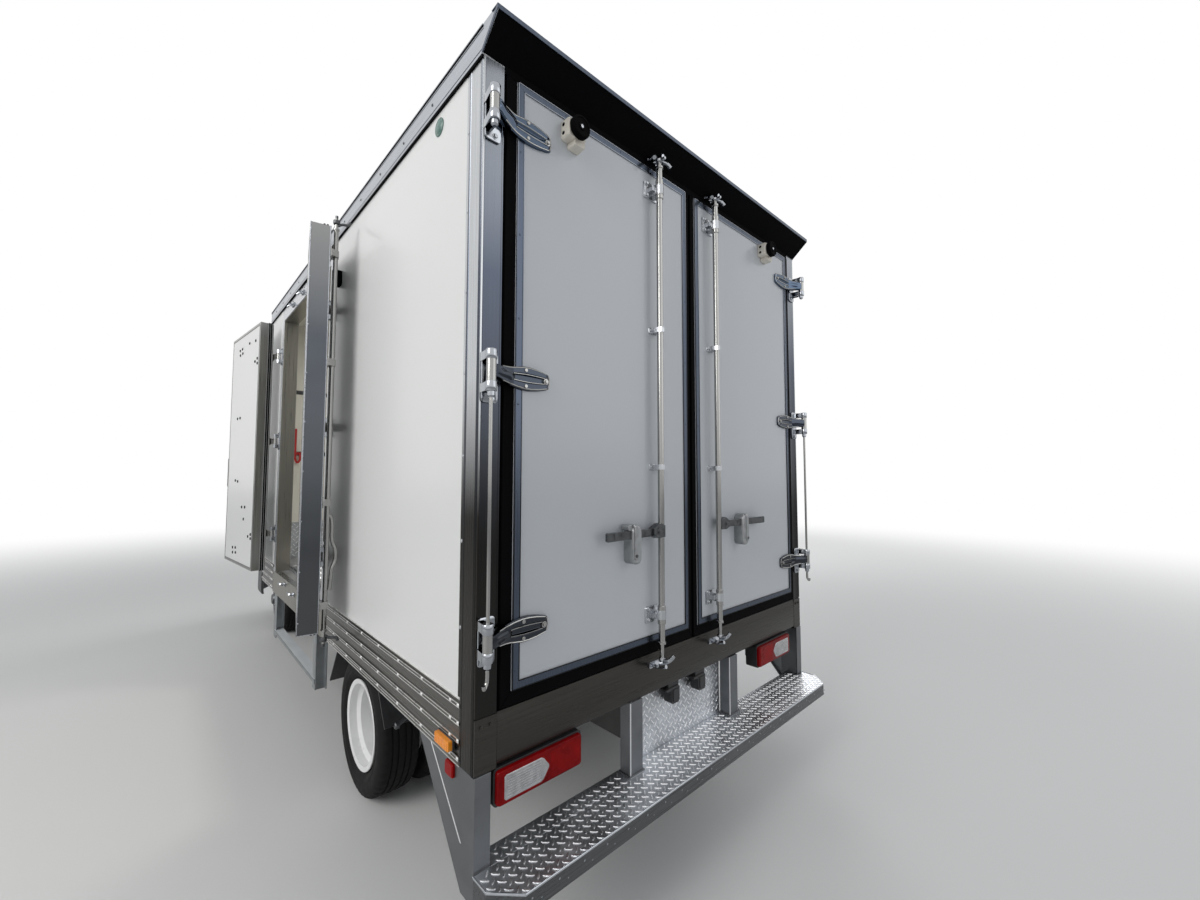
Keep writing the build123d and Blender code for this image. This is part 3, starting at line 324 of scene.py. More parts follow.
# Grain of brushed metal upright, along and across the truck
UPRIGHT = (160, 160, 3)
ALONG = (160, 2.5, 160)
ACROSS = (2.5, 160, 160)
body_white = surface("side_panel_white", (0.77, 0.775, 0.765), 0.3, 0, 0.8, 0.012, 0.02, 0.05, 14,
                     Coat_Weight=0.08, Coat_Roughness=0.1, Specular_IOR_Level=0.35)
# Rear door panels: the side panels' white painted darker and bluer, as painted shade.
door_white_painted_shade = surface("door_panel_white_painted_shade", (0.60, 0.625, 0.66), 0.3, 0, 0.7, 0.006, 0.02, 0.04, 12,
                     Coat_Weight=0.2, Coat_Roughness=0.12)
inner_white = surface("load_space_white", (0.82, 0.80, 0.74), 0.4, 0, 2, 0.03, 0.08, 0.05, 40)
bright = surface("bright_aluminium", (0.50, 0.515, 0.54), 0.26, 1, UPRIGHT, 0.08, 0.08, 0.06)
rail_metal = surface("rail_aluminium", (0.41, 0.43, 0.465), 0.3, 1, ALONG, 0.08, 0.08, 0.06)
# Rear faces of the posts: a darker copy of the post sides' aluminium, with a darker foot and a lighter crown,
# as a painted reflection of the ground and the sky.
post_metal_painted_reflection = surface("post_aluminium_painted_reflection", (0.078, 0.09, 0.118), 0.24, 1, UPRIGHT, 0.08, 0.06,
                     0.05, foot=((0.028, 0.027, 0.026), 1.4, 2.3), crown=((0.30, 0.32, 0.35), 2.3, 3.0))
trim_metal = surface("trim_aluminium", (0.08, 0.097, 0.13), 0.26, 1, UPRIGHT, 0.08, 0.06, 0.05)
# The near-black foot of the post sides is a painted reflection of the ground.
post_side = surface("post_side_aluminium", (0.50, 0.515, 0.53), 0.28, 1, UPRIGHT, 0.08, 0.08,
                    0.06, foot=((0.034, 0.031, 0.028), 1.5, 1.95))
# Sill and post feet: metal painted near black, a painted reflection of the ground.
sill_metal_painted_reflection = surface("sill_painted_reflection", (0.064, 0.060, 0.055), 0.3, 1, ACROSS, 0.08, 0.05, 0.06)
# Skirts: aluminium painted dark, a painted reflection of the ground.
skirt_metal_painted_reflection = surface("skirt_aluminium_painted_reflection", (0.125, 0.12, 0.112), 0.3, 1, ALONG, 0.1, 0.06, 0.06)
galvanised = surface("galvanised_steel", (0.50, 0.51, 0.52), 0.4, 0.9, 34, 0.16, 0.12, 0.15, 60)
chequer = surface("chequer_plate", (0.95, 0.95, 0.96), 0.3, 1, 30, 0.05, 0.08, 0.1, 90)
chequer_dark = surface("chequer_base", (0.50, 0.52, 0.55), 0.42, 1, 5, 0.25, 0.1, 0.1, 90)
leg_metal = surface("step_leg_steel", (0.165, 0.172, 0.182), 0.42, 0.85, 14, 0.12, 0.08, 0.12, 160)
# Rear side leaf: dark base with a slightly darker foot and a lighter crown, a painted reflection of the
# ground and the sky.
leaf_metal_painted_reflection = surface("leaf_aluminium_painted_reflection", (0.115, 0.128, 0.15), 0.2, 1, (2, 2, 5), 0.12, 0.04,
                     0.02, 30, foot=((0.095, 0.098, 0.10), 0.8, 2.6), crown=((0.32, 0.32, 0.315), 2.3, 3.0))
# The darker foot of the jambs and sill skin is a painted reflection of the ground.
jamb_metal = surface("jamb_aluminium", (0.42, 0.41, 0.37), 0.32, 1, UPRIGHT, 0.12, 0.06, 0.05,
                     foot=((0.26, 0.245, 0.21), 0.8, 2.6))
leaf_grey = surface("leaf_edge_grey", (0.34, 0.34, 0.325), 0.32, 1, UPRIGHT, 0.12, 0.06, 0.05)
chrome = surface("chrome", (0.40, 0.42, 0.45), 0.12, 1, 30, 0.06, 0.04, 0.04, 70)
# Hinge straps: chrome painted near black, darker low and bluer high, a painted reflection of the ground and
# the sky.
chrome_painted_reflection = surface("chrome_strap_painted_reflection", (0.052, 0.06, 0.076), 0.08, 1, 12, 0.1, 0.03, 0.03, 40,
                      foot=((0.044, 0.047, 0.054), 0.9, 1.6), crown=((0.085, 0.115, 0.165), 1.9, 2.8))
stainless = surface("stainless_rod", (0.36, 0.36, 0.35), 0.2, 1, (90, 90, 4), 0.06, 0.05, 0.04)
glint = surface("edge_highlight", (0.90, 0.90, 0.89), 0.3, 1, 20, 0.05, 0.05, 0.02)
steel_dark = surface("dark_steel", (0.10, 0.105, 0.11), 0.34, 0.9, 50, 0.2, 0.1, 0.1)
cast_grey = surface("cast_grey", (0.33, 0.34, 0.35), 0.45, 0.8, 40, 0.12, 0.1, 0.2, 260)
chassis_black = surface("chassis_black", (0.022, 0.022, 0.023), 0.42, 0, 8, 0.3, 0.1, 0.2, 120,
                        dirt=0.35)
black_plastic = surface("black_plastic", (0.024, 0.024, 0.026), 0.46, 0, 30, 0.2, 0.08, 0.25, 700)
rubber = surface("seal_rubber", (0.0025, 0.0025, 0.003), 0.75, 0, 40, 0.3, 0.08, 0.08, 300,
                 Specular_IOR_Level=0.04)
tyre_rubber = surface("tyre_rubber", (0.006, 0.006, 0.0063), 0.72, 0, 18, 0.3, 0.1, 0.3, 420,
                      dirt=0.03, Specular_IOR_Level=0.18)
rim_white = surface("rim_white", (0.88, 0.88, 0.88), 0.3, 0, 9, 0.03, 0.06, 0.05, 90, Coat_Weight=0.2)
cream = surface("cream_block", (0.72, 0.68, 0.60), 0.4, 0, 30, 0.06, 0.05, 0.1)
cab_white = surface("cab_white", (0.78, 0.78, 0.77), 0.2, 0, 1, 0.015, 0.04, 0.04, 60,
                    Coat_Weight=0.5, Coat_Roughness=0.05)
interior_grey = surface("interior_grey", (0.16, 0.165, 0.17), 0.6, 0, 20, 0.1, 0.08, 0.3, 500)
unit_white = surface("unit_white", (0.76, 0.76, 0.75), 0.3, 0, 2, 0.02, 0.05, 0.05, 80,
                     Coat_Weight=0.3)
green_cap = surface("green_cap", (0.085, 0.175, 0.15), 0.3, 0, 60, 0.2, 0.06, 0.1)
lens_red = surface("lens_red", (0.2, 0.0008, 0.002), 0.3, 0, 14, 0.35, 0.05, 0.25, 300,
                   Coat_Weight=0.06, Coat_Roughness=0.05, Specular_IOR_Level=0.08)
lens_rim = surface("lens_rim_red", (0.27, 0.001, 0.002), 0.3, 0, 20, 0.2, 0.05, 0.1,
                   Specular_IOR_Level=0.1)
lens_amber = surface("lens_amber", (0.98, 0.30, 0.012), 0.2, 0, 50, 0.15, 0.05, 0.5, 420,
                     Coat_Weight=0.6, Coat_Roughness=0.05)
lens_clear = surface("lens_clear", (0.42, 0.42, 0.43), 0.12, 0.3, 60, 0.2, 0.05, 0.6, 300,
                     Coat_Weight=0.8, Coat_Roughness=0.04)
hanger_metal = surface("hanger_steel", (0.33, 0.35, 0.365), 0.35, 0.9, 14, 0.1, 0.06, 0.1, 160)
cover_metal = surface("step_cover", (0.78, 0.81, 0.83), 0.42, 0.1, (12, 6, 12), 0.06, 0.06,
                      0.08, 90)
lip_metal = surface("step_lip_steel", (0.13, 0.135, 0.14), 0.3, 1, ACROSS, 0.2, 0.08, 0.1)
strap_red = surface("strap_red", (0.5, 0.03, 0.03), 0.7, 0, 200, 0.15, 0.08, 0.3)
seat_cloth = surface("seat_cloth", (0.06, 0.062, 0.07), 0.85, 0, 350, 0.35, 0.08, 0.6, 900,
                     Sheen_Weight=0.3)
glass = surface("window_glass", (0.68, 0.74, 0.73), 0.03, 0, 3, 0.02, 0.01,
                Transmission_Weight=0.96, IOR=1.3)
bumper_grey = surface("bumper_plastic", (0.075, 0.077, 0.08), 0.5, 0, 30, 0.1, 0.06, 0.25, 600)
mirror_glass = surface("mirror_glass", (0.72, 0.74, 0.76), 0.04, 1, 4, 0.02, 0.02)
lamp_glass = surface("lamp_glass", (0.92, 0.93, 0.94), 0.05, 0, 8, 0.02, 0.02,
                     Transmission_Weight=0.9, IOR=1.4)
seat_vinyl = surface("seat_piping", (0.025, 0.026, 0.03), 0.45, 0, 60, 0.1, 0.06, 0.3, 400)

# Library slots of the materials that pieces use
SLOTS = {
    "body_white": (body_white, inner_white),
    "bright_aluminium": (bright, rail_metal, post_metal_painted_reflection, trim_metal, post_side, leaf_metal_painted_reflection, jamb_metal,
                         leaf_grey, glint, cover_metal),
    "dark_aluminium": (sill_metal_painted_reflection, steel_dark),
    "chequer_plate": (chequer, chequer_dark, lip_metal),
    "galvanised": (leg_metal, hanger_metal),
    "chrome": (chrome, chrome_painted_reflection, stainless, mirror_glass),
    "cast_grey": (cast_grey,),
    "black_plastic": (black_plastic, rubber, green_cap, bumper_grey),
    "tyre": (tyre_rubber,),
    "rim_white": (rim_white,),
    "unit_white": (cream,),
    "cab_white": (cab_white,),
    "interior_grey": (interior_grey,),
    "lamp_red": (lens_red, lens_rim, strap_red),
    "lamp_clear": (lens_amber, lens_clear, lamp_glass),
    "seat_cloth": (seat_cloth, seat_vinyl),
}
SLOT_OF = {material: slot for slot, materials in SLOTS.items() for material in materials}

# Materials of the CAD nodes
NODE_MATERIALS = {
    body_white: "box_wall_left box_wall_right box_front_wall box_roof",
    rail_metal: "roof_rails",
    bright: "side_door_frame",
    post_side: "rear_frame",
    door_white_painted_shade: "rear_door_left rear_door_right side_door_front side_door_rear",
    skirt_metal_painted_reflection: "side_skirts",
    galvanised: "rear_step_brackets side_step box_floor",
    chassis_black: "chassis_frame engine_block driveline front_axle rear_axle leaf_springs knuckle_left"
                   " knuckle_right battery_box exhaust",
    black_plastic: "rear_mudguards front_bumper",
    cab_white: "cab_shell cab_door_left cab_door_right",
    glass: "cab_glass door_glass_left door_glass_right",
    interior_grey: "dashboard",
    seat_cloth: "seats",
    lens_clear: "headlamps",
    unit_white: "refrigeration_unit",
    chrome: "rear_door_gear_left rear_door_gear_right mirrors",
    lens_red: "tail_lamps",
    chequer: "rear_step_tread",
    rim_white: "front_rim_left front_rim_right rear_rims_left rear_rims_right",
    tyre_rubber: "front_tyre_left front_tyre_right rear_tyres_left rear_tyres_right",
    cast_grey: "fuel_tank",
}
for material, names in NODE_MATERIALS.items():
    for name in names.split():
        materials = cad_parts[name].data.materials
        for index in range(len(materials)):
            materials[index] = material
        if not materials:
            materials.append(material)

# Rear posts, door frames and seals
DOOR_X = (36, 976)
DOOR_Z = (941, 2988)
DOOR_FACE = -12
TRIM_WIDTH = 25
# columns: distance off the middle, place behind or in front of the frame plane
POST_SECTION = ((1023, 2), (1023, -2), (1025, -3.5), (1029, -3.5), (1031, -2), (1090, -2), (1094, -3),
                (1101, 1), (1103, 6), (1103, 12), (1101.5, 14), (1101.5, 78), (1103, 80), (1103, 90),
                (1099, 90), (1099, 4))

for name, side in SIDES:
    post = Shape(side).prism(POST_SECTION, "z", 716, 3016)
    piece(f"post_cladding_{name}", post, post_metal_painted_reflection)
    edge = Shape(side)
    edge.box((1101.4, 1102.4), (15, 77), (717, 3015))
    edge.box((1096, 1101), (-3.6, 0), (890, 3015))
    edge.box((1099, 1102), (90, 105), (925, 3015))
    piece(f"post_side_strip_{name}", edge, post_side)
    sleeve = Shape(side).box((1023, 1101), (-5, 0), (717, 884))
    for x in (1046, 1080):
        sleeve.bolt((x, -5, 860), "y", 6, -5)
    piece(f"post_foot_{name}", sleeve, sill_metal_painted_reflection, 1)
    studs = Shape(side)
    for z in range(1144, 2900, 276):
        studs.rivet((1102, 96, z), "x", 6.5, 2.6)
    piece(f"post_screws_{name}", studs, bright)

    body = f"{name}_rear_door"
    inner, outer = DOOR_X
    low, high = DOOR_Z
    hole = corners((inner, low), (outer, high))
    trim = Shape(side).mitred(hole, corners((inner, low), (outer, high), TRIM_WIDTH), "y",
                              DOOR_FACE - 3.5, DOOR_FACE + 1)
    for z in range(low + 60, high, 290):
        for x in (inner + 12, outer - 12):
            trim.rivet((x, DOOR_FACE - 3.5, z), "y", 4, -1.8)
    for x in range(inner + 150, outer, 290):
        for z in (low + 12, high - 12):
            trim.rivet((x, DOOR_FACE - 3.5, z), "y", 4, -1.8)
    piece(f"door_edge_trim_{name}", trim, trim_metal, 0.8, body)
    border = Shape(side)
    line, depth = 2.5, (DOOR_FACE - 4.6, DOOR_FACE)
    for reach in (TRIM_WIDTH, 1):
        for x in (inner + reach, outer - reach - line):
            border.box((x, x + line), depth, (low + reach, high - reach))
        for z in (low + reach, high - reach - line):
            border.box((inner + reach, outer - reach), depth, (z, z + line))
    piece(f"door_trim_lines_{name}", border, post_metal_painted_reflection, 0, body)

    seal = Shape(side)
    for lip, depth in ((0, (2, 60)), (3, (-9, 4))):
        limit = corners((4 + lip, 890 + lip), (1019 - lip, 2996 - lip * 0.3))
        seal.mitred(limit, hole, "y", *depth)
    piece(f"door_seal_{name}", seal, rubber, 3, body)

piece("rear_header_cover", Shape().box((-1022, 1022), (-3, 2), (2997, 3029)), rubber, 1)
sill = Shape().prism(((-2, 727), (-4, 731), (-4, 868), (-2, 874), (-2, 887), (4, 887), (4, 727)), "x",
                     -1022, 1022)
piece("rear_sill_plate", sill, sill_metal_painted_reflection, 0.6)

# Rear door hinges
PIN_X, PIN_Y = 1092, -60
HINGES_Z = ((1073, 1186), (1895, 2023), (2765, 2878))
# columns: distance from the pin towards the door's middle, near face, outer face, half height, ridge
STRAP_RINGS = (
    (6, -50, -70, 23, 0), (24, -40, -66, 24, 2), (48, -20, -50, 26, 4), (80, -14, -36, 30, 5),
    (100, -13, -30, 33, 0), (112, -12, -29, 36, -9), (146, -12, -28, 41, -10), (172, -12, -27, 41, -10),
    (205, -12, -26, 37, -9), (228, -12, -25, 32, -7), (240, -12, -24, 29, 0), (250, -12, -21, 25, 0),
    (255, -12, -17, 20, 0),
)
EAR_HEIGHT = 28
EAR = ((1072, -9), (1099, -9), (1108, -56), (1103, -70), (1090, -76), (1079, -70), (1075, -58))
for name, side in SIDES:
    straps, fixed, rims, hold = [Shape(side) for _ in range(4)]
    for low, high in HINGES_Z:
        middle = (low + high) / 2
        rings = []
        for along, near, far, half, ridge in STRAP_RINGS:
            bend = far * 0.6 + near * 0.4
            section = ((near, -1), (bend, -1), (far, -0.8), (far, -0.4), (far - ridge, -0.22),
                       (far - ridge, 0.22), (far, 0.4), (far, 0.8), (bend, 1), (near, 1))
            rings.append([(PIN_X - along, depth, middle + half * share) for depth, share in section])
        straps.loft(rings)
        for share in (-0.86, 0.86):
            rims.tube([(PIN_X - along, far * 0.9 + near * 0.1, middle + half * share)
                       for along, near, far, half, _ in STRAP_RINGS[2:-2]], 2.6, 8)
            rims.tube([(PIN_X - along, far - 0.5, middle + half * share * 0.36)
                       for along, near, far, half, _ in STRAP_RINGS[4:-3]], 1.6, 6)
        tip = PIN_X - 246
        bow = [(tip, -22, middle - 23), (tip - 6, -20, middle), (tip, -22, middle + 23)]
        rims.tube(curve(bow, 4), 2.4, 8)
        rims.disc((PIN_X, PIN_Y, low + 29), "z", 15.5, ((0, 1), (high - low - 58, 1)), 28)
        for along, rise in ((150, 27), (150, -27), (236, 0)):
            rims.bolt((PIN_X - along, -23, middle + rise), "y", 7, -8)
        fixed.plate((1038, low - 30), (1098, high + 6), 12, "y", -4, -9, (-11, 0.94))
        for foot in (low, high - EAR_HEIGHT):
            fixed.prism(EAR, "z", foot, foot + EAR_HEIGHT)
            fixed.disc((PIN_X, PIN_Y, foot - 2), "z", 18, ((0, 0.9), (3, 1), (29, 1), (32, 0.9)), 28)
        fixed.bolt((1062, -11, low - 16), "y", 7, -8)
        fixed.bolt((1058, -11, middle), "y", 6, -7)
        fixed.disc((PIN_X, PIN_Y, low - 22), "z", 12, ((0, 0.5), (6, 1), (20, 1)), 18)
    piece(f"hinge_straps_{name}", straps, chrome_painted_reflection, 1.2, f"{name}_rear_door",
          replaces=[f"rear_door_gear_{name}"])
    piece(f"hinge_strap_rims_{name}", rims, stainless, 0, f"{name}_rear_door")
    piece(f"hinge_brackets_{name}", fixed, chrome, 1)
    foot, top = HINGES_Z[0]
    hold.tube([(PIN_X, PIN_Y, top + 2), (PIN_X, PIN_Y, HINGES_Z[1][0] - 20)], 6)
    hold.tube(curve([(PIN_X, PIN_Y, foot - 12), (PIN_X, PIN_Y, foot - 52), (PIN_X + 5, PIN_Y - 2, 1008),
                     (PIN_X + 13, PIN_Y - 6, 1000), (PIN_X + 16, PIN_Y - 8, 1012)]), 6)
    piece(f"hinge_rod_{name}", hold, stainless)

# Lock rods, handles and door buffers
# columns: side name, side, lock rod's X, handle's inner and outer distance off the middle, buffer's X and Z
REAR_LOCKS = (
    ("left", -1, -270, (276, 590), (-746, 2909)),
    ("right", 1, 160, (176, 590), (690, 2927)),
)
ROD_Y = -50
ROD_LATHE = ((868, 0), (868, 7), (872, 9), (934, 9), (936, 17), (944, 17), (946, 13.5), (1016, 13.5),
             (1018, 17), (1090, 17), (1093, 13.5), (2838, 13.5), (2841, 17), (2925, 17), (2928, 13.5),
             (2976, 13.5), (2978, 17), (2986, 17), (2988, 9), (3020, 9), (3022, 0))
PAD_LATHE = ((-56, 0), (-56, 30), (-61, 30), (-64, 41), (-80, 42), (-86, 38), (-87, 33), (-84, 30), (-84, 17),
             (-87, 14), (-87, 9), (-82, 7), (-82, 0))
for name, side, x, (near, far), (bx, bz) in REAR_LOCKS:
    body = f"{name}_rear_door"
    piece(f"lock_rod_{name}", Shape().lathe(ROD_LATHE, (x, ROD_Y, 0), "z", 24), stainless, 0, body)

    guides = Shape()
    for z, half in ((1056, 34), (2880, 38)):
        guides.prism([(x - 22, -12), (x - 22, -46), (x - 14, -62), (x, -70), (x + 14, -62), (x + 20, -46),
                      (x + 20, -12)], "z", z - half * 0.55, z + half * 0.55)
        guides.plate((x - 64, z - half), (x + 22, z + half), 8, "y", DOOR_FACE, (-19, 0.96))
        for rise in (-half + 12, half - 12):
            guides.bolt((x - 49, -19, z + rise), "y", 7, -9)
        guides.box((x - 38, x - 12), (-44, -19), (z - 9, z + 9))
    for z in (1670, 2260):
        guides.prism([(x - 18, -12), (x - 18, -48), (x - 9, -66), (x + 9, -66), (x + 18, -48), (x + 18, -12)],
                     "z", z - 11, z + 11)
        guides.plate((x - 34, z - 14), (x + 24, z + 14), 6, "y", DOOR_FACE, (-17, 0.95))
        guides.rivet((x - 27, -17, z), "y", 5, -4)
    for z in (874, 3014):
        guides.disc((x, ROD_Y, z - 6), "z", 15, ((0, 0.9), (2, 1), (10, 1), (12, 0.9)), 16)
        guides.prism(((x - 7, -62), (x + 7, -62), (x + 5, -84), (x - 5, -84)), "z", z - 5, z + 5)
    piece(f"rod_guides_{name}", guides, bright, 1, body, "chrome")

    claws = Shape()
    for z, rise, wall in ((866, 1, -4), (3008, -1, -1)):
        claws.plate((x - 34, z - 30 * rise - 6), (x + 34, z - 30 * rise + 20), 6, "y", wall, wall - 7)
        for way in BOTH:
            claws.tube(curve([(x + way * reach, y, z + up * rise) for reach, y, up in (
                (10, -10, -26), (24, -34, -20), (40, -58, -8), (55, -70, 12))], 5), 8.5, 10)
            claws.bolt((x + way * 25, wall - 7, z - 24 * rise), "y", 5, -5)
        claws.tube([(x, y, z + up * rise) for y, up in ((-8, -28), (-40, -28), (-72, -18))], 8, 10)
    piece(f"rod_claws_{name}", claws, chrome)

    bar = Shape(side)
    bar.prism([(near + 40, 1385), (near + 40, 1415), (far - 6, 1416), (far, 1412), (far, 1386),
               (far - 6, 1382)], "y", -44, -56)
    bar.prism([(near - 16, 1426), (near + 8, 1436), (near + 26, 1434), (near + 58, 1416), (near + 58, 1386),
               (near + 30, 1374), (near - 16, 1376)], "y", -36, (-66, 0.96))
    bar.bolt((near + 26, -66, 1402), "y", 7, -6)
    piece(f"handle_bar_{name}", bar, steel_dark, 2, body)
    latch = Shape(side)
    middle = (near + far) / 2
    latch.plate((middle - 25, 1283), (middle + 25, 1434), 20, "y", DOOR_FACE, -46, -60, (-66, 0.9))
    latch.plate((middle - 16, 1416), (middle + 46, 1440), 8, "y", -20, (-58, 0.94))
    latch.plate((middle + 2, 1296), (middle + 20, 1444), 8, "y", -60, (-71, 0.9))
    piece(f"handle_latch_{name}", latch, cast_grey, 2, body)
    keyhole = Shape(side).disc((middle + 11, -70, 1318), "y", 7, ((0, 1), (-3, 1), (-4, 0.8)), 20)
    piece(f"latch_lock_{name}", keyhole, steel_dark, 0, body, "cast_grey")

    block = Shape()
    block.plate((bx - 42, bz - 36), (bx + 42, bz + 36), 9, "y", DOOR_FACE, -52, (-60, 0.93))
    block.plate((bx - 12, bz - 58), (bx + 42, bz - 26), 8, "y", DOOR_FACE, (-56, 0.93))
    piece(f"door_buffer_{name}", block, cream, 2.5, body)
    pad = Shape().lathe(PAD_LATHE, (bx, 0, bz), "y", 40)
    for z in (bz - 16, bz + 16):
        pad.disc((bx - 42.5, -28, z), "x", 7, ((-0.5, 1), (1.4, 1)), 16)
    piece(f"buffer_pad_{name}", pad, rubber, 0, body)
    piece(f"buffer_bolt_{name}", Shape().bolt((bx, -82, bz), "y", 7, -5), chrome, 0, body)

# Visor and roof rails
RAIL_X = 1106
# The visor's aluminium underside is drawn black, as painted shade under the visor.
visor = Shape().prism(((-1.5, 3029), (-1.5, 3024), (-92, 3102), (-97, 3108), (-94, 3108)), "x",
                      5 - RAIL_X, RAIL_X - 5)
piece("visor_underside_painted_shade", visor, rubber)
lip = Shape().prism(((-90, 3119.5), (-90, 3116), (-95, 3116), (-95, 3103), (-98, 3103), (-98, 3119.5)), "x",
                    -RAIL_X - 2, RAIL_X + 2)
for lip.side in BOTH:
    lip.prism(((2, 3016), (2, 3032), (-92, 3117), (-97, 3119), (-98, 3104)), "x", RAIL_X, RAIL_X + 3)
    lip.plate((-98, 3116), (-60, 3119.8), 1.5, "x", RAIL_X - 40, RAIL_X + 3)
piece("visor_trim", lip, trim_metal, 0.6)
for name, side in SIDES:
    rail, lines, screws = [Shape(side) for _ in range(3)]
    # columns: low and high edge of a raised bead along the rail, and how far it stands out
    for low, high, out in ((3017, 3022, 3), (3036, 3039, 1.5), (3103, 3106, 1.5), (3115, 3119.6, 3.5)):
        rail.box((RAIL_X, RAIL_X + out), (-2, 3842), (low, high))
    piece(f"roof_rail_beads_{name}", rail, rail_metal, 0.5)
    # Dark lines under the rail's beads are painted shadow gaps.
    for low, high, out in ((3008, 3017, 1.5), (3107, 3115, 1.2)):
        lines.box((RAIL_X - 4, RAIL_X + out), (-1, 3840), (low, high))
    piece(f"roof_rail_shadow_gaps_{name}", lines, rubber)
    for y in range(390, 3800, 292):
        screws.rivet((RAIL_X, y, 3070), "x", 6, 3)
    piece(f"roof_rail_screws_{name}", screws, steel_dark)

# Skirts, side markers and caps
lines, studs = Shape(), Shape()
# columns: side, rear end, front end
for side, low, high in ((-1, 88, 1765), (-1, 3325, 3830), (1, 88, 3830)):
    lines.side = studs.side = side
    for z in (735, 790, 845, 900):
        for rise in (-5.5, 5.5):
            lines.box((1104, 1106.2), (low, high), (z + rise - 1.2, z + rise + 1.2))
        for y in [low + 8, *range(low + 62, high - 30, 228)]:
            studs.rivet((1105, y, z), "x", 7, 4)
    lines.box((1099, 1103), (low, high), (711, 714))
    lines.box((1099, 1102.5), (low, high), (917, 921))
piece("skirt_beads", lines, glint)
piece("skirt_rivets", studs, glint)
marker, holder, reflector = Shape(), Shape(), Shape()
for side in BOTH:
    marker.side = holder.side = reflector.side = side
    holder.plate((116, 747), (226, 785), 4, "x", 1103, 1111)
    marker.plate((120, 750), (222, 782), 4, "x", 1110, 1124, (1127, 0.9))
    for y in range(126, 216, 12):
        marker.box((1124, 1128), (y, y + 5), (753, 779))
    reflector.plate((122, 660), (178, 704), 7, "x", 1096, 1105, (1109, 0.86))
piece("side_marker_bases", holder, black_plastic, 1)
piece("side_markers", marker, lens_amber, 1.5, slot="lamp_red")
piece("side_reflectors", reflector, lens_rim)
cap = Shape().lathe(((0, 0), (0, 34), (-3, 34), (-5, 30), (-4, 25), (-6, 22), (-8, 14), (-8, 0)),
                    (-1100, 332, 2951), "x", 36)
piece("drain_cap", cap, green_cap)

# Rear step
TREAD_TOP = 440
TREAD_REAR, TREAD_FRONT = -172, 60
TREAD_HALF = 1105
LIP_FOOT = 380
CORNER = 82
LEG_FACE = -8
LEG_FOOT = 340
INNER_LEGS = ((-418, -344), (302, 376))
TREAD_EDGE = ((-TREAD_HALF, -14), (-TREAD_HALF, TREAD_REAR + CORNER), (-TREAD_HALF + CORNER, TREAD_REAR),
              (TREAD_HALF - CORNER, TREAD_REAR), (TREAD_HALF, TREAD_REAR + CORNER), (TREAD_HALF, -14))
GUSSET = ((410, 711), (75, LEG_FOOT), (LEG_FACE, LEG_FOOT), (LEG_FACE, 711))
BAR_HEIGHT, BAR_ROOT = 2.2, -0.66
DIAGONAL = 0.7071


def raised_bars(name, low, high, place, pitch=46, length=36, width=8, keep=None):
    """Raised bars of chequer plate over a rectangle, turned 45 degrees each way in turn.

    place turns a point (across, up, out) of the plate into millimetres of the truck.
    """
    shape = Shape()
    columns = int((high[0] - low[0] - length) / pitch * 2)
    rows = int((high[1] - low[1] - length * 0.6) / pitch * 2)
    start = [(low[k] + high[k] - n * pitch / 2) / 2 for k, n in ((0, columns), (1, rows))]
    outline = ((1, 0), (0.55, 0.8), (-0.55, 0.8), (-1, 0), (-0.55, -0.8), (0.55, -0.8))
    for i in range(columns + 1):
        for j in range(i % 2, rows + 1, 2):
            middle = (start[0] + i * pitch / 2, start[1] + j * pitch / 2)
            if keep and not keep(*middle):
                continue
            slope = 1 if i % 2 else -1
            rings = []
            for share, out in ((1, BAR_ROOT), (0.72, BAR_HEIGHT)):
                ring = []
                for along, across in outline:
                    reach = along * length / 2 * (1 - (1 - share) * 0.45)
                    half = across * width / 2 * share
                    ring.append(place(middle[0] + (reach - half * slope) * DIAGONAL,
                                      middle[1] + (reach * slope + half) * DIAGONAL, out))
                rings.append(ring)
            shape.loft(rings)
    piece(name, shape, chequer, smooth=50)


def on_tread(x, y):
    inside = abs(x) < TREAD_HALF - 12 and abs(x) - TREAD_HALF + CORNER < y - TREAD_REAR - 12
    return inside and (y < -24 or abs(x) < 1030) and not (
        y > -20 and any(low - 16 < x < high + 16 for low, high in INNER_LEGS))


tread = Shape().prism(TREAD_EDGE, "z", TREAD_TOP - 5, TREAD_TOP)
tread.box((-1043, 1043), (-14, TREAD_FRONT), (TREAD_TOP - 5, TREAD_TOP))
piece("step_plate", tread, chequer_dark, 0.8, replaces=["rear_step_tread"])
lip = Shape().wrapped([(x * 0.999, y + 0.8) for x, y in TREAD_EDGE],
                      corners((0, LIP_FOOT), (5, TREAD_TOP - 1)))
lip.box((-1040, 1040), (TREAD_REAR + 5, TREAD_REAR + 24), (LIP_FOOT, LIP_FOOT + 4))
lip.box((-1043, 1043), (TREAD_FRONT - 5, TREAD_FRONT), (LIP_FOOT, TREAD_TOP - 1))
piece("step_lip", lip, lip_metal, 0.8)
raised_bars("step_plate_bars", (-TREAD_HALF, TREAD_REAR), (TREAD_HALF, TREAD_FRONT - 6),
            lambda a, b, out: (a, b, TREAD_TOP + out), 36.8, 29, 7.5, on_tread)
edge = Shape().tube([(x * 0.9985, y + 2.8, TREAD_TOP - 0.5) for x, y in TREAD_EDGE], 2.6, 10)
for x in range(-1000, 1010, 100):
    edge.disc((x, TREAD_REAR + 2, LIP_FOOT + 38), "y", 3.5, ((0, 1), (-1.8, 1)), 10)
    edge.disc((x + 34, TREAD_REAR + 2, LIP_FOOT + 22), "y", 2.5, ((0, 1), (-1.7, 1)), 10)
piece("step_edge_line", edge, chrome, slot="chequer_plate")

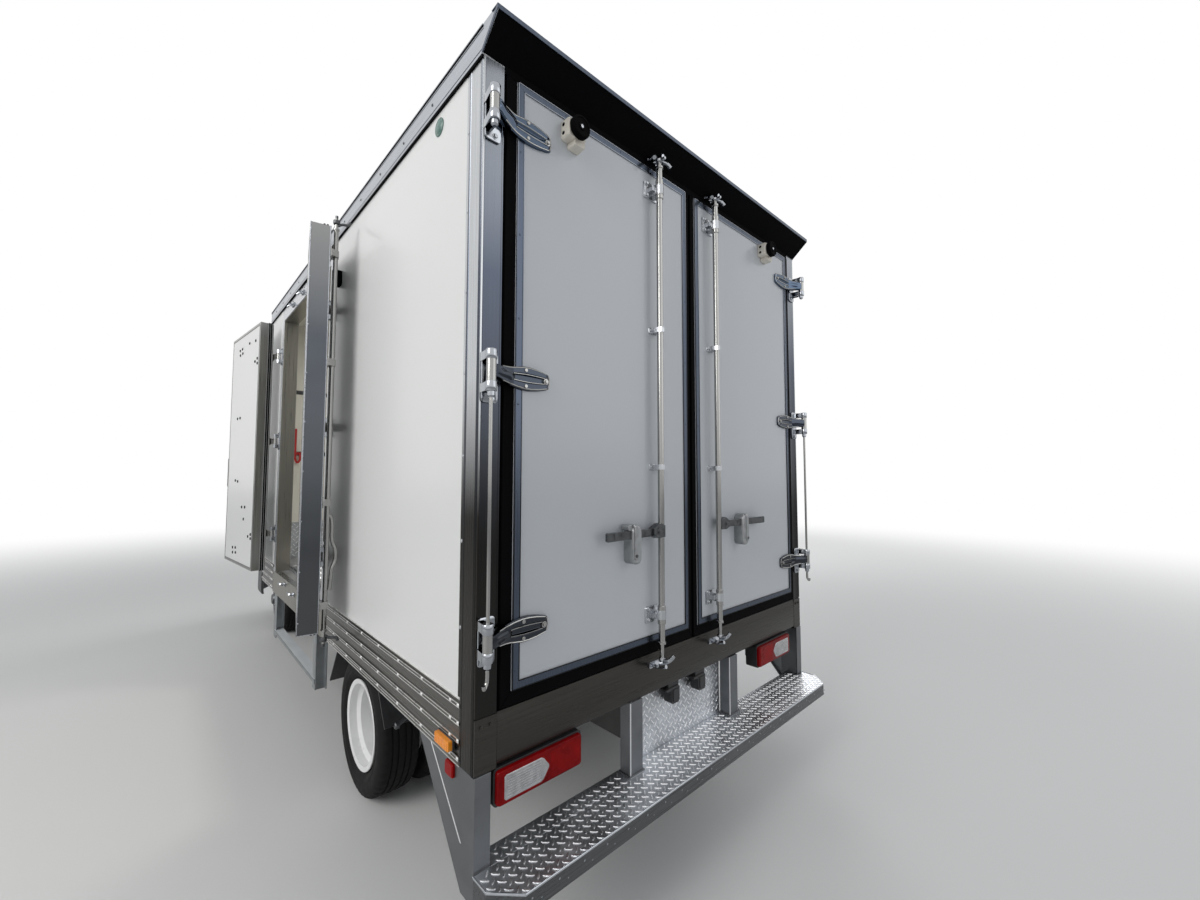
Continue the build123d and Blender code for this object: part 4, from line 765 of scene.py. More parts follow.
legs, inner_faces, lines = Shape(), Shape(), Shape()
for side in BOTH:
    legs.side = inner_faces.side = lines.side = side
    legs.prism(GUSSET, "x", 1093, 1099)
    inner_faces.prism(GUSSET, "x", 1091.5, 1093)
    legs.prism(((410, 711), (402, 711), (67, LEG_FOOT), (75, LEG_FOOT)), "x", 1070, 1093)
    legs.box((1044, 1099.5), (LEG_FACE - 0.5, LEG_FACE + 6), (LEG_FOOT, 716))
    legs.box((1044, 1050), (LEG_FACE, 92), (LEG_FOOT, 716))
    legs.box((1050, 1093), (LEG_FACE + 6, 66), (LEG_FOOT, LEG_FOOT + 6))
    lines.prism(((302, 711), (308, 709), (80, 487), (73, 487)), "x", 1098.5, 1100)
for low, high in INNER_LEGS:
    legs.box((low, high), (LEG_FACE, LEG_FACE + 6), (TREAD_TOP, 724))
    for x in (low, high - 6):
        legs.box((x, x + 6), (LEG_FACE + 6, 48), (TREAD_TOP, 724))
    legs.box((low - 8, high + 8), (LEG_FACE - 4, 52), (TREAD_TOP, TREAD_TOP + 5))
    lines.box((low - 0.6, low + 5), (LEG_FACE - 0.8, LEG_FACE + 0.8), (TREAD_TOP + 5, 724))
piece("step_legs", legs, leg_metal, 1.2, replaces=["rear_step_brackets"])
piece("step_leg_inner_faces", inner_faces, hanger_metal)
between_legs = (INNER_LEGS[0][1], INNER_LEGS[1][0])
panel = Shape().box(between_legs, (TREAD_FRONT - 6, TREAD_FRONT), (TREAD_TOP, 724))
piece("step_panel", panel, chequer_dark, 1)
raised_bars("step_panel_bars", (between_legs[0] + 4, TREAD_TOP + 4), (between_legs[1] - 4, 722),
            lambda a, b, out: (a, TREAD_FRONT - 6 - out, b), 36.8, 29, 7.5)
piece("step_edge_highlights", lines, rim_white, slot="galvanised")
blocks = Shape()
for low in (-183, 14):
    blocks.prism([(low + a, b) for a, b in (
        (0, 704), (0, 694), (34, 690), (36, 640), (44, 633), (84, 633), (92, 642), (92, 696), (84, 706))],
                 "y", -2, 44)
    blocks.plate((low + 44, 642), (low + 84, 694), 6, "y", -2, -6)
    blocks.box((low + 20, low + 92), (4, 40), (700, 726))
piece("plate_lamps", blocks, black_plastic, 1.5)

# Tail lamps
LAMP_LOW, LAMP_HIGH = 598, 716
# columns: side name, side, inner end, outer end
for name, side, inner, outer in (("left", -1, 676, 1034), ("right", 1, 572, 934)):
    low, high, tip = LAMP_LOW, LAMP_HIGH, outer - 204
    housing, pane, surround = [Shape(side) for _ in range(3)]
    housing.plate((inner, low), (outer, high), 14, "y", -6, 58, (62, 0.96))
    housing.plate((inner + 40, low + 30), (outer - 40, high - 30), 12, "y", 58, 86)
    piece(f"tail_lamp_housing_{name}", housing, black_plastic, 1, replaces=["tail_lamps"])
    lens = Shape(side).prism(rounded((inner + 6, low + 6), (outer - 6, high - 6), 12, 8), "y",
                             -4, -15, (-19, 0.985), (-22, 0.94))
    piece(f"tail_lamp_lens_{name}", lens, lens_red, 1.5)
    outline = ((outer - 30, low + 25), (outer - 36, low + 19), (tip + 32, low + 19), (tip + 22, low + 25),
               (tip, (low + high) / 2 - 4), (tip, (low + high) / 2 + 4), (tip + 22, high - 27),
               (tip + 32, high - 21), (outer - 36, high - 21), (outer - 30, high - 27))
    pane.prism(outline, "y", -20, -23, (-25, 0.95))
    for z in range(low + 28, high - 26, 8):
        pane.box((tip + 34, outer - 40), (-26.5, -24), (z, z + 3))
    piece(f"tail_lamp_pane_{name}", pane, lens_clear, 1)
    surround.prism(outline, "y", (-20, 1.1), (-22.6, 1.06))
    surround.plate((inner + 12, low + 12), (tip - 8, high - 14), 10, "y", -20, (-22.6, 0.97))
    piece(f"tail_lamp_cells_{name}", surround, lens_rim, 0.8)

# Wheels
TYRE_RADIUS = 345
REAR_AXLE, FRONT_AXLE = 1356, 4700
REAR_HUB, FRONT_HUB = 803, 850
NUT_CIRCLE = 78
TWIN = 120
SIDEWALL = ((-70, 206), (-72, 219), (-84, 232), (-96, 252), (-99, 268), (-97.5, 272), (-99, 276), (-98, 300),
            (-94, 318), (-91, 322), (-88, 332), (-80, 339), (-72, 342.5))
BARREL = ((31, 206), (31, 219.5), (33, 221), (37, 221), (40, 216), (42, 205), (75, 203), (90, 182),
          (150, 182), (165, 203), (198, 205), (200, 216), (203, 221), (207, 221), (209, 219.5), (209, 213),
          (205, 197), (168, 195), (153, 174), (88, 174), (72, 195), (50, 192), (42, 196), (36, 200))
DISC_RIM = ((50, 193), (38, 200), (27, 163), (35, 157))
DISC_WEB = ((35, 157), (27, 163), (9, 118), (19, 113))
DISC_HUB = ((19, 113), (9, 118), (2, 104), (0, 96), (0, 52), (9, 52), (9, 96))
LOCK_RING = ((31.5, 205), (31.5, 213), (28, 214), (28, 206))
HANDHOLES = 8
FRONT_HUB_LATHE = ((-151, 31), (-151, 140), (-97, 140), (-91, 134), (-91, 80), (-47, 74), (11, 70), (15, 66),
                   (17, 56), (33, 50), (38, 44), (38, 0), (-11, 0), (-11, 31))
REAR_HUB_LATHE = ((-243, 41), (-243, 165), (-63, 165), (-55, 90), (23, 88), (29, 72), (93, 66), (102, 58),
                  (102, 0), (73, 0), (73, 41))


def tyre_profile(middle):
    """Outline of a tyre in distances along X and radii, with four grooves round its tread."""
    outline = [*SIDEWALL, (-68, 343)]
    for groove in (-45, -17, 17, 45):
        for across, drop in ((-5, 0), (-3.5, 8), (3.5, 8), (5, 0)):
            crown = TYRE_RADIUS - (abs(groove + across) / 70) ** 2 * 2
            outline.append((groove + across, crown - drop))
    outline += [(68, 343), *[(-a, r) for a, r in reversed(SIDEWALL)]]
    return [(middle + a, r) for a, r in outline]


def worn(middle):
    """Cuts the cross slots of the shoulder and the fine sipes of the ribs into a tyre's tread."""
    def spoil(along, radius, step):
        across = abs(along - middle)
        if 62 < across < 90 and radius > 325 and step % 4 == 0:
            return along, radius - 5
        if across < 62 and radius > 341.5 and step % 3 == 0:
            return along, radius - 2.2
        return along, radius
    return spoil


def rim(name, side, face, turn, axle, body, nodes=()):
    """Dished steel rim with hand holes; face is its hub face, and turn -1 dishes it inward."""
    made = Shape(side)
    centre = (face, axle, TYRE_RADIUS)
    for ring in (BARREL, DISC_RIM, DISC_HUB):
        made.lathe([(turn * a, r) for a, r in ring], centre, "x", 72)
    pitch = 360 / HANDHOLES
    for hole in range(HANDHOLES):
        made.sector([(turn * a, r) for a, r in DISC_WEB], centre, pitch * hole, pitch * (hole + 0.56), 5)
    made.lathe([(turn * a, r) for a, r in LOCK_RING], centre, "x", 72)
    piece(name, made, rim_white, 0, body, replaces=nodes)


def hub(name, side, outline, face, axle, nuts, body):
    """Hub with six nuts; nuts is (place of their foot, first angle, height) from the hub's face."""
    made = Shape(side).lathe(outline, (face, axle, TYRE_RADIUS), "x", 48)
    foot, first, height = nuts
    for nut in range(6):
        centre = around((face + foot, axle, TYRE_RADIUS), "x", 0, NUT_CIRCLE, (60 * nut + first) / 360)
        made.disc(centre, "x", 15, ((0, 1), (height, 1), (height + 6, 0.75)), 6)
    piece(name, made, steel_dark, 0, body, "cast_grey")


for name, side in SIDES:
    front, rear = f"front_{name}_wheel", f"rear_{name}_wheels"
    rim(f"front_rim_{name}_dressed", side, FRONT_HUB, -1, FRONT_AXLE, front, [f"front_rim_{name}"])
    rim(f"rear_rim_outer_{name}", side, REAR_HUB, 1, REAR_AXLE, rear, [f"rear_rims_{name}"])
    rim(f"rear_rim_inner_{name}", side, REAR_HUB, -1, REAR_AXLE, rear)
    hub(f"front_hub_{name}", side, FRONT_HUB_LATHE, FRONT_HUB, FRONT_AXLE, (0, 15, 14), front)
    hub(f"rear_hub_{name}", side, REAR_HUB_LATHE, REAR_HUB, REAR_AXLE, (8, 0, 16), rear)
    for label, middle, axle, body, shown in (
            ("front", FRONT_HUB - TWIN, FRONT_AXLE, front, f"front_tyre_{name}"),
            ("rear_outer", REAR_HUB + TWIN, REAR_AXLE, rear, f"rear_tyres_{name}"),
            ("rear_inner", REAR_HUB - TWIN, REAR_AXLE, rear, f"rear_tyres_{name}")):
        tyre = Shape(side).lathe(tyre_profile(middle), (0, axle, TYRE_RADIUS), "x", 180, worn(middle))
        piece(f"tyre_{label}_{name}", tyre, tyre_rubber, 0, body, replaces=[shown], smooth=38)

# Side doorway and its open leaves
WALL_X = -1100
LEAF_Z = (873, 2890)
LEAF_X = (WALL_X, -1008)
LEAF_HINGES_Z = ((1110, 1220), (1860, 1970), (2560, 2670))
LEAF_ROD_Y = 2275
# columns: name, hinge pin, edge by the hinge, free edge, angle at which it stands open
LEAVES = (
    ("rear", (-1120, 1790), 1852, 2310, 169.5),
    ("front", (-1125, 3300), 3238, 2340, -174.3),
)
LEAF_ROD_LATHE = ((812, 0), (812, 8), (868, 8), (870, 15), (880, 15), (882, 11), (2884, 11), (2886, 15),
                  (2896, 15), (2898, 8), (2948, 8), (2948, 0))
# columns: distance from the free edge, height
LEAF_BOLTS = ((270, 2755), (350, 2758), (282, 2712), (365, 2716), (585, 2767), (774, 2756), (840, 2596),
              (776, 2579), (845, 2555), (275, 2140), (363, 2140), (290, 1590), (373, 1582), (544, 1367),
              (640, 1370), (613, 1269), (773, 1138), (846, 1160), (850, 1127), (290, 1004), (385, 1012),
              (298, 962), (396, 970))
for name, pin, hinged, free, angle in LEAVES:
    body = f"{name}_side_leaf"
    about = Matrix.Translation((*pin, 0))
    turn = about @ Matrix.Rotation(math.radians(angle), 4, "Z") @ about.inverted()
    low, high = min(hinged, free), max(hinged, free)
    foot, top = LEAF_Z
    outside, inside = LEAF_X
    way = 1 if free > hinged else -1
    core, metal, lines, rubbers, fittings = [Shape(turn=turn) for _ in range(5)]
    core.box((outside + 3, inside - 2), (low + 3, high - 3), (foot + 3, top - 3))
    piece(f"side_leaf_skin_{name}", core, body_white, 1, body, replaces=[f"side_door_{name}"])
    for x, wide in (((outside, outside + 5), 30), ((inside - 4, inside), 24)):
        for y in (low, high - wide):
            metal.box(x, (y, y + wide), LEAF_Z)
        for z in (foot, top - wide):
            metal.box(x, (low + wide, high - wide), (z, z + wide))
    for y in (low, high - 4):
        wide_wall = name == "rear" and (y == low) == (way < 0)
        start = 2 if wide_wall else 40
        metal.box((outside + start, inside - 1), (y, y + 4), LEAF_Z)
    for z in (foot, top - 4):
        metal.box((outside + 30, inside - 1), (low + 4, high - 4), (z, z + 4))
    piece(f"side_leaf_frame_{name}", metal, leaf_metal_painted_reflection if name == "rear" else leaf_grey, 0.8, body)
    for x in (outside + 3, inside - 3):
        lines.tube([(x, free, foot), (x, free, top)], 2.2, 8)
    lines.tube([(outside + 3, free, foot + 1), (inside - 3, free, foot + 1)], 1.6, 8)
    for z in range(foot + 60, top, 240):
        lines.rivet((inside - 6, free + way, z), "y", 4, way * 2)
    piece(f"side_leaf_edge_lines_{name}", lines, rail_metal, 0, body)
    for x in (outside + 12, outside + 26):
        for y0, y1 in ((low - 5, low + 2), (high - 2, high + 5)):
            if name == "front" or y0 < high - 10:
                rubbers.prism(((x, y0), (x + 8, y0 + 1), (x + 9, y1 - 1), (x, y1)), "z", *LEAF_Z)
        for z in (foot - 5, top - 2):
            rubbers.box((x, x + 9), (low, high), (z, z + 7))
    piece(f"side_leaf_seals_{name}", rubbers, rubber, 1, body)

    for low_z, high_z in LEAF_HINGES_Z:
        middle = (low_z + high_z) / 2
        rings = []
        for along, near, far, half in ((0, -5, -17, 18), (20, -5, -16, 21), (70, -5, -16, 25),
                                       (110, 0, -14, 34), (170, 0, -13, 31), (200, 0, -10, 14)):
            rings.append([(WALL_X + d, pin[1] + way * along, middle + half * s) for d, s in (
                (near, -1), (far * 0.7, -1), (far, -0.7), (far, 0.7), (far * 0.7, 1), (near, 1))])
        fittings.loft(rings)
        fittings.disc((*pin, low_z + 29), "z", 13, ((0, 1), (high_z - low_z - 58, 1)), 20)
        for along, rise in ((125, 18), (125, -18), (180, 0)):
            fittings.bolt((WALL_X - 13, pin[1] + way * along, middle + rise), "x", 6, -6)
    if name == "rear":
        fittings.lathe(LEAF_ROD_LATHE, (-1124, LEAF_ROD_Y, 0), "z", 20)
        fittings.lathe(((1300, 0), (1300, 6), (2700, 6), (2700, 0)), (-1118, LEAF_ROD_Y - 60, 0), "z", 14)
        for z in (1000, 1500, 2200, 2760):
            fittings.prism([(x, LEAF_ROD_Y + y) for x, y in (
                (WALL_X, -34), (-1112, -30), (-1138, -14), (-1138, 14), (-1112, 30), (WALL_X, 34))],
                           "z", z - 17, z + 17)
            fittings.plate((LEAF_ROD_Y - 40, z - 26), (LEAF_ROD_Y + 36, z + 26), 6, "x",
                           WALL_X, WALL_X - 5)
            for y in (LEAF_ROD_Y - 32, LEAF_ROD_Y + 28):
                fittings.bolt((WALL_X - 5, y, z), "x", 5, -5)
        grip = [(x, LEAF_ROD_Y + y, z) for x, y, z in (
            (-1124, 0, 1436), (-1140, -4, 1428), (-1146, -8, 1390), (-1146, -10, 1330), (-1152, -12, 1296),
            (-1164, -12, 1262), (-1164, -12, 1210), (-1150, -10, 1170), (-1146, -8, 1120), (-1142, -8, 1066))]
        fittings.tube(curve(grip, 6), 9.5, 12)
    piece(f"side_leaf_fittings_{name}", fittings, stainless, 0.8, body)
    if name == "rear":
        hooks = Shape(turn=turn)
        for z, rise in ((2930, 1), (832, -1)):
            hooks.tube(curve([(x, LEAF_ROD_Y, z + up * rise) for x, up in (
                (-1124, -20), (-1150, -4), (-1176, 0), (-1186, 16))], 5), 7, 10)
            hooks.disc((-1124, LEAF_ROD_Y, z - 10), "z", 16, ((0, 0.9), (3, 1), (17, 1), (20, 0.9)), 20)
            hooks.tube([(-1124, LEAF_ROD_Y, z), (-1124, LEAF_ROD_Y, z + 34 * rise)], 7, 10)
        piece("side_rod_hooks", hooks, steel_dark, 0, body, "chrome")
        stop = Shape().plate((1594, 2718), (1662, 2800), 8, "x",
                             WALL_X, WALL_X - 6, WALL_X - 32, (WALL_X - 38, 0.8))
        piece("side_leaf_stop", stop, rubber, 2)
    else:
        bolts, plug, plug_line = [Shape(turn=turn) for _ in range(3)]
        for y, z in LEAF_BOLTS:
            bolts.disc((inside + 0.5, free + y, z), "x", 12, ((0, 1), (4, 1), (5, 0.8)), 8)
        piece("side_leaf_bolts", bolts, rubber, 0, body, "dark_aluminium")
        for y in (low + 19, high - 22):
            plug_line.box((inside - 1, inside + 1.2), (y, y + 3), (foot + 20, top - 20))
        for z in (foot + 19, top - 22):
            plug_line.box((inside - 1, inside + 1.2), (low + 20, high - 20), (z, z + 3))
        piece("side_leaf_plug_line", plug_line, steel_dark, 0, body, "black_plastic")
        plug.box((inside - 3, inside + 1), (low + 26, high - 26), (foot + 26, top - 26))
        piece("side_leaf_plug", plug, body_white, 2, body)
    fixed = Shape()
    for low_z, high_z in LEAF_HINGES_Z:
        for z in (low_z, high_z - EAR_HEIGHT):
            fixed.prism(((WALL_X, pin[1] - 16), (WALL_X, pin[1] + 16), (pin[0] - 4, pin[1] + 13),
                         (pin[0] - 13, pin[1] + 4), (pin[0] - 13, pin[1] - 4), (pin[0] - 4, pin[1] - 13)),
                        "z", z, z + EAR_HEIGHT)
        fixed.plate((pin[1] - 18, low_z - 16), (pin[1] + 18, high_z + 16), 6, "x", WALL_X, WALL_X - 5)
        for z in (low_z - 8, high_z + 8):
            fixed.bolt((WALL_X - 5, pin[1], z), "x", 5, -5)
    piece(f"side_hinge_brackets_{name}", fixed, chrome, 1)

claws = Shape()
for y, z, rise in ((2590, 2956, -1), (2912, 2950, -1), (2547, 811, 1), (2864, 829, 1)):
    claws.plate((y - 34, z - 14), (y + 34, z + 14), 6, "x", WALL_X, WALL_X - 7)
    for way in BOTH:
        claws.tube(curve([(-1104, y + way * 10, z), (-1122, y + way * 20, z + rise * 2),
                          (-1136, y + way * 34, z + rise * 12)], 5), 6, 10)
        claws.bolt((WALL_X - 7, y + way * 26, z), "x", 5, -5)
piece("side_rod_claws", claws, chrome)
header = Shape().box((-1102, -1098), (1840, 3250), (2904, 2908))
for y in range(1800, 3320, 190):
    header.rivet((WALL_X, y, 2985), "x", 5, -3)
piece("side_header_trim", header, steel_dark, 0.6)
piece("side_sill_skin", Shape().box((-1102, -1098), (1765, 3325), (701, 864)), jamb_metal, 1)
jambs = Shape()
for y in ((1838.5, 1841), (3249, 3251.5)):
    jambs.box((-1099, -1002), y, (867, 2901))
jambs.box((-1099, -1002), (1842, 3248), (2899, 2903))
piece("side_jamb_skins", jambs, jamb_metal, 0.5, slot="dark_aluminium")
threshold = Shape().box((-1003, -995), (1842, 3248), (866, 893))
threshold.box((-1003, -960), (1842, 3248), (890, 893))
piece("side_threshold", threshold, rail_metal, 0.6)

step = Shape().box((-1100, -1038), (1930, 3220), (416, 420))
for x in (-1100, -1042):
    step.box((x, x + 4), (1930, 3220), (396, 420))
for y, bracket in ((1930, (1924, 1990)), (3214, (3168, 3260))):
    step.box((-1095, -1038), (y, y + 6), (360, 699))
    step.box((-1095, -1089), bracket, (360, 699))
    step.box((-1044, -1038), (y - 30, y + 6), (360, 699))
piece("side_step_frame", step, hanger_metal, 1.2, replaces=["side_step"])
cover = Shape().box((-1098, -1040), (1938, 3212), (420, 422.5))
for y in range(1990, 3200, 70):
    for x, shift in ((-1084, 0), (-1069, 30), (-1054, 0)):
        cover.rivet((x, y + shift, 422), "z", 3, 1.4)
piece("side_step_cover", cover, cover_metal, 0.6)

# Load space
FLOOR_TOP = 893
raised_bars("load_floor_bars", (-1000, 1780), (0, 3300), lambda a, b, out: (a, b, 890.2 + out))
liner = Shape()
liner.box((-1024, 1024), (3751.5, 3755), (FLOOR_TOP, 3029))
liner.box((1020.5, 1025), (90, 3752), (FLOOR_TOP, 3029))
liner.box((-1024, 1024), (90, 3752), (3025, 3029.5))
piece("load_space_liner", liner, inner_white)
kick = Shape().box((-1000, 1000), (3750, 3754), (FLOOR_TOP, 1210))
piece("bulkhead_kick_plate", kick, chequer_dark, 1)
raised_bars("bulkhead_kick_bars", (-1000, 895), (1000, 1208), lambda a, b, out: (a, 3750 - out, b))
rail = Shape()
for z in (1836, 2400):
    rail.prism(((3755, z - 20), (3742, z - 14), (3742, z + 14), (3755, z + 20)), "x", -1010, 1010)
    for x in range(-960, 1000, 120):
        rail.bolt((x, 3742, z), "y", 6, -4)
piece("load_tie_rails", rail, steel_dark, 1, slot="galvanised")
path = curve([(-905, 3728, 2062), (-905, 3728, 1960), (-905, 3728, 1850), (-904, 3728, 1790),
              (-888, 3726, 1755), (-868, 3726, 1775), (-864, 3726, 1830)], 6)
thick = Vector((0, 4, 0))
rings = []
for i, point in enumerate(path):
    ahead = (path[min(i + 1, len(path) - 1)] - path[max(i - 1, 0)]).normalized()
    wide = Vector((0, 1, 0)).cross(ahead) * 9
    rings.append([point + wide, point - wide, point - wide + thick, point + wide + thick])
strap = Shape().loft(rings).box((-912, -856), (3724, 3744), (1826, 1846))
piece("load_strap", strap, strap_red)

# Cab
CAB_REAR = 4040
# columns: height, half width
CAB_LEAN = ((500, 910), (1380, 910), (2170, 830), (2250, 745))
# columns: height, place of the front face
CAB_FACE = ((560, 5725), (620, 5725), (1180, 5710), (1330, 5630), (2180, 5330), (2250, 5140))
# columns: distance off the middle, place of the front face
CAB_PLAN = ((0, 5740), (435, 5740), (720, 5692.5), (910, 5360))
SCREEN_WAY = (0, 0.943, 0.333)
SEAM_FOOT, SEAM_TOP = 1172, 1366


def between(table, place):
    """Value at a place on the straight runs between the points of a table."""
    for (low, first), (high, last) in zip(table, table[1:]):
        if place <= high:
            return first + (last - first) * (place - low) / (high - low)
    return table[-1][1]


def on_front(x, z, out=0):
    return (x, min(between(CAB_FACE, z), between(CAB_PLAN, abs(x))) + out, z)


screen = Shape()
screen.bezel([on_front(*p) for p in rounded((-755, 1393), (755, 2136), 34)],
             [on_front(*p) for p in rounded((-718, 1432), (718, 2100), 44)], SCREEN_WAY, 3, 16)
screen.bezel([(x, CAB_REAR, z) for x, z in rounded((-525, 1495), (525, 1985), 46)],
             [(x, CAB_REAR, z) for x, z in rounded((-492, 1528), (492, 1952), 34)], (0, -1, 0), 3, 14)
piece("cab_window_rubbers", screen, rubber, body="cab")
wipers = Shape()
for x in (-560, 60):
    foot = on_front(x, 1385, 6)
    tip = (x + 403.2, on_front(0, 1560, 16)[1], 1560)
    wipers.disc(foot, "y", 17, ((-8, 1), (14, 1), (18, 0.7)), 20)
    wipers.tube([foot, (x + 196, on_front(0, 1470, 22)[1], 1470), tip], 6, 8)
    wipers.tube([(tip[0] + a, on_front(0, b, 8)[1], b) for a, b in ((-250, 1478), (230, 1636))], 5, 8)
piece("windscreen_wipers", wipers, black_plastic, body="cab")

grille = Shape().plate((-425, 900), (425, 1132), 34, "y", 5700, (5719, 0.99))
for z in range(918, 1110, 34):
    grille.prism(((5714, z), (5727, z + 7), (5728, z + 13), (5714, z + 24)), "x", -392, 392)
for x in (-200, 0, 200):
    grille.box((x - 5, x + 5), (5712, 5724), (914, 1118))
piece("cab_grille", grille, black_plastic, 1.5, "cab")
trim = Shape().bezel([(x, 5717, z) for x, z in rounded((-434, 891), (434, 1141), 40)],
                     [(x, 5717, z) for x, z in rounded((-420, 905), (420, 1127), 30)], (0, 1, 0), 9, 8, 0.7)
piece("cab_grille_frame", trim, chrome, body="cab")
seams = Shape()
for z in (SEAM_FOOT, SEAM_TOP):
    seams.tube([on_front(x, z, 0.2) for x in range(-700, 701, 100)], 1.8, 6)
for seams.side in BOTH:
    seams.tube([on_front(700, z, 0.2) for z in (SEAM_FOOT, 1250, 1330, SEAM_TOP)], 1.8, 6)
    seams.tube([(832, y, 2168) for y in (4170, 4600, 5140)], 4, 8)
    seams.tube([(909.5, y, 1330) for y in (4044, 4250, 4430)], 1.5, 6)
piece("cab_seams", seams, rubber, body="cab")
ribs = Shape()
for x in range(-600, 601, 200):
    ribs.plate((x - 30, 4200), (x + 30, 5080), 28, "z", 2248, (2256, 0.9))
for z in (1120, 1250, 1380):
    ribs.plate((-700, z - 24), (700, z + 24), 20, "y", CAB_REAR + 2, (CAB_REAR - 6, 0.96))
piece("cab_pressed_ribs", ribs, cab_white, 2, "cab")

for name, side in SIDES:
    body = f"{name}_cab_door"
    rubbers, grip, card, arch = [Shape(side) for _ in range(4)]
    rubbers.bezel(*[[(between(CAB_LEAN, z), y, z) for y, z in outline] for outline in (
        ((4504, 1394), (4504, 2056), (5169, 2056), (5409, 1394)),
        ((4532, 1424), (4532, 2026), (5148, 2026), (5364, 1424)))], (1, 0, 0.1), 3, 16)
    rubbers.plate((4450, 850), (5440, 888), 12, "x", 909, (915, 0.97))
    rubbers.plate((4496, 1112), (4646, 1196), 18, "x", 909, (912, 0.97))
    piece(f"cab_door_rubbers_{name}", rubbers, black_plastic, 1, body)
    grip.plate((4508, 1146), (4634, 1172), 11, "x", 918, (930, 0.93))
    for y in (4512, 4608):
        grip.plate((y, 1148), (y + 22, 1170), 6, "x", 911, 920)
    grip.disc((911.5, 4484, 1156), "x", 12, ((0, 1), (4, 1), (5, 0.8)), 24)
    piece(f"cab_door_handle_{name}", grip, bumper_grey, 2, body)
    card.plate((4470, 850), (5400, 1370), 40, "x", 868, (858, 0.95))
    card.plate((4700, 1150), (5150, 1210), 24, "x", 866, 820)
    card.plate((4560, 900), (5200, 1040), 30, "x", 866, (832, 0.96))
    piece(f"cab_door_card_{name}", card, interior_grey, 4, body)

    for outline in (((903, 428), (916, 430), (918, 440), (914, 450), (906, 450)),
                    ((650, 427), (905, 427), (905, 431), (650, 431))):
        arch.sector(outline, (0, FRONT_AXLE, TYRE_RADIUS), 31, 149, 32)
    arch.plate((5170, 640), (5440, 740), 16, "x", 908, (914, 0.96))
    for z in range(658, 730, 16):
        arch.box((912, 918), (5186, 5424), (z, z + 6))
    piece(f"cab_arch_{name}", arch, bumper_grey, 1, "cab")

    house, bowls, signal, cover = [Shape(side) for _ in range(4)]
    route = ((805, 5543), (770, 5605), (720, 5692), (600, 5712), (482, 5732))
    for low, high in (((38, 702), (44, 858)), ((4, 702), (40, 706)), ((4, 854), (40, 858))):
        house.wrapped(route, corners(low, high))
    piece(f"headlamp_housing_{name}", house, black_plastic, 0, "cab", replaces=["headlamps"])
    for x, y, radius in ((552, 5680, 58), (672, 5660, 56)):
        bowls.lathe(((-6, 0), (-6, 16), (4, 34), (22, radius * 0.9), (34, radius), (36, radius + 4),
                     (30, radius + 4), (0, 40), (-10, 16), (-10, 0)), (x, y, 780), "y", 36)
        bowls.disc((x, y + 2, 780), "y", 12, ((0, 1), (16, 0.9), (22, 0.4)), 16)
    piece(f"headlamp_bowls_{name}", bowls, mirror_glass, 0, "cab")
    signal.wrapped(((797, 5545), (770, 5592), (738, 5650)), corners((10, 710), (24, 850)))
    piece(f"headlamp_signal_{name}", signal, lens_amber, 0, "cab")
    cover.wrapped(route, corners((0, 703), (3, 857)))
    piece(f"headlamp_cover_{name}", cover, lamp_glass, 0, "cab")

    head, pane, arms = [Shape(side) for _ in range(3)]
    head.plate((1058, 1483), (1219, 1857), 40, "y", (5563, 0.96), 5568, 5596, (5612, 0.93),
               (5618, 0.8))
    piece(f"mirror_head_{name}", head, black_plastic, 1.5, "cab", replaces=["mirrors"])
    for low, high in ((1612, 1842), (1500, 1596)):
        pane.plate((1072, low), (1205, high), 22, "y", 5560.5, 5564)
    piece(f"mirror_glass_{name}", pane, mirror_glass, 0, "cab")
    for path, radius in (([(905, 5590, 1790), (1070, 5590, 1790)], 9),
                         ([(905, 5590, 1530), (1070, 5590, 1530)], 9),
                         ([(905, 5590, 1518), (905, 5590, 1802)], 10),
                         ([(905, 5590, 1530), (872, 5556, 1530), (815, 5500, 1530)], 13)):
        arms.tube(path, radius, 12)
    arms.disc((905, 5590, 1802), "z", 12, ((0, 1), (3, 0.8)), 16)
    piece(f"mirror_arms_{name}", arms, black_plastic, 0, "cab")

# Front bumper
BUMPER_EDGE = ((906, 5252), (906, 5475), (880, 5528), (760, 5738), (716, 5758), (506, 5799), (446, 5801))
bumper = Shape().wrapped([*BUMPER_EDGE, *[(-x, y) for x, y in reversed(BUMPER_EDGE)]], (
    (10, 300), (3, 316), (0, 342), (0, 526), (4, 550), (16, 564), (58, 567), (58, 556), (28, 546), (24, 330),
    (30, 300)))
bumper.plate((-380, 560), (380, 700), 18, "y", 5776, 5798, (5803, 0.985))
bumper.box((-378, 378), (5762, 5780), (690, 699))
for bumper.side in BOTH:
    bumper.box((369, 378), (5762, 5780), (566, 699))
piece("front_bumper_skin", bumper, bumper_grey, replaces=["front_bumper"], smooth=40)
intake, fogs = Shape(), Shape()
for z in range(586, 690, 18):
    intake.prism(((5800, z), (5804.5, z + 3), (5804.5, z + 8), (5800, z + 10)), "x", -352, 352)
for x in range(-330, 331, 60):
    intake.box((x - 3, x + 3), (5800, 5804), (582, 690))
for side in BOTH:
    intake.side = fogs.side = side
    intake.plate((300, 322), (470, 380), 16, "y", 5798, 5803)
    intake.disc((620, 5758, 432), "y", 58, ((0, 1), (18, 1), (24, 0.9)), 36)
    fogs.lathe(((0, 0), (0, 44), (6, 44), (9, 36), (11, 0)), (620, 5776, 432), "y", 32)
piece("front_intake", intake, rubber)
plate = Shape().plate((-262, 400), (262, 512), 8, "y", 5799, 5804.5)
piece("front_plate_blank", plate, rim_white, 0.8, slot="body_white")
piece("fog_lamps", fogs, lens_clear)

# Refrigeration unit
UNIT_HALF = 700
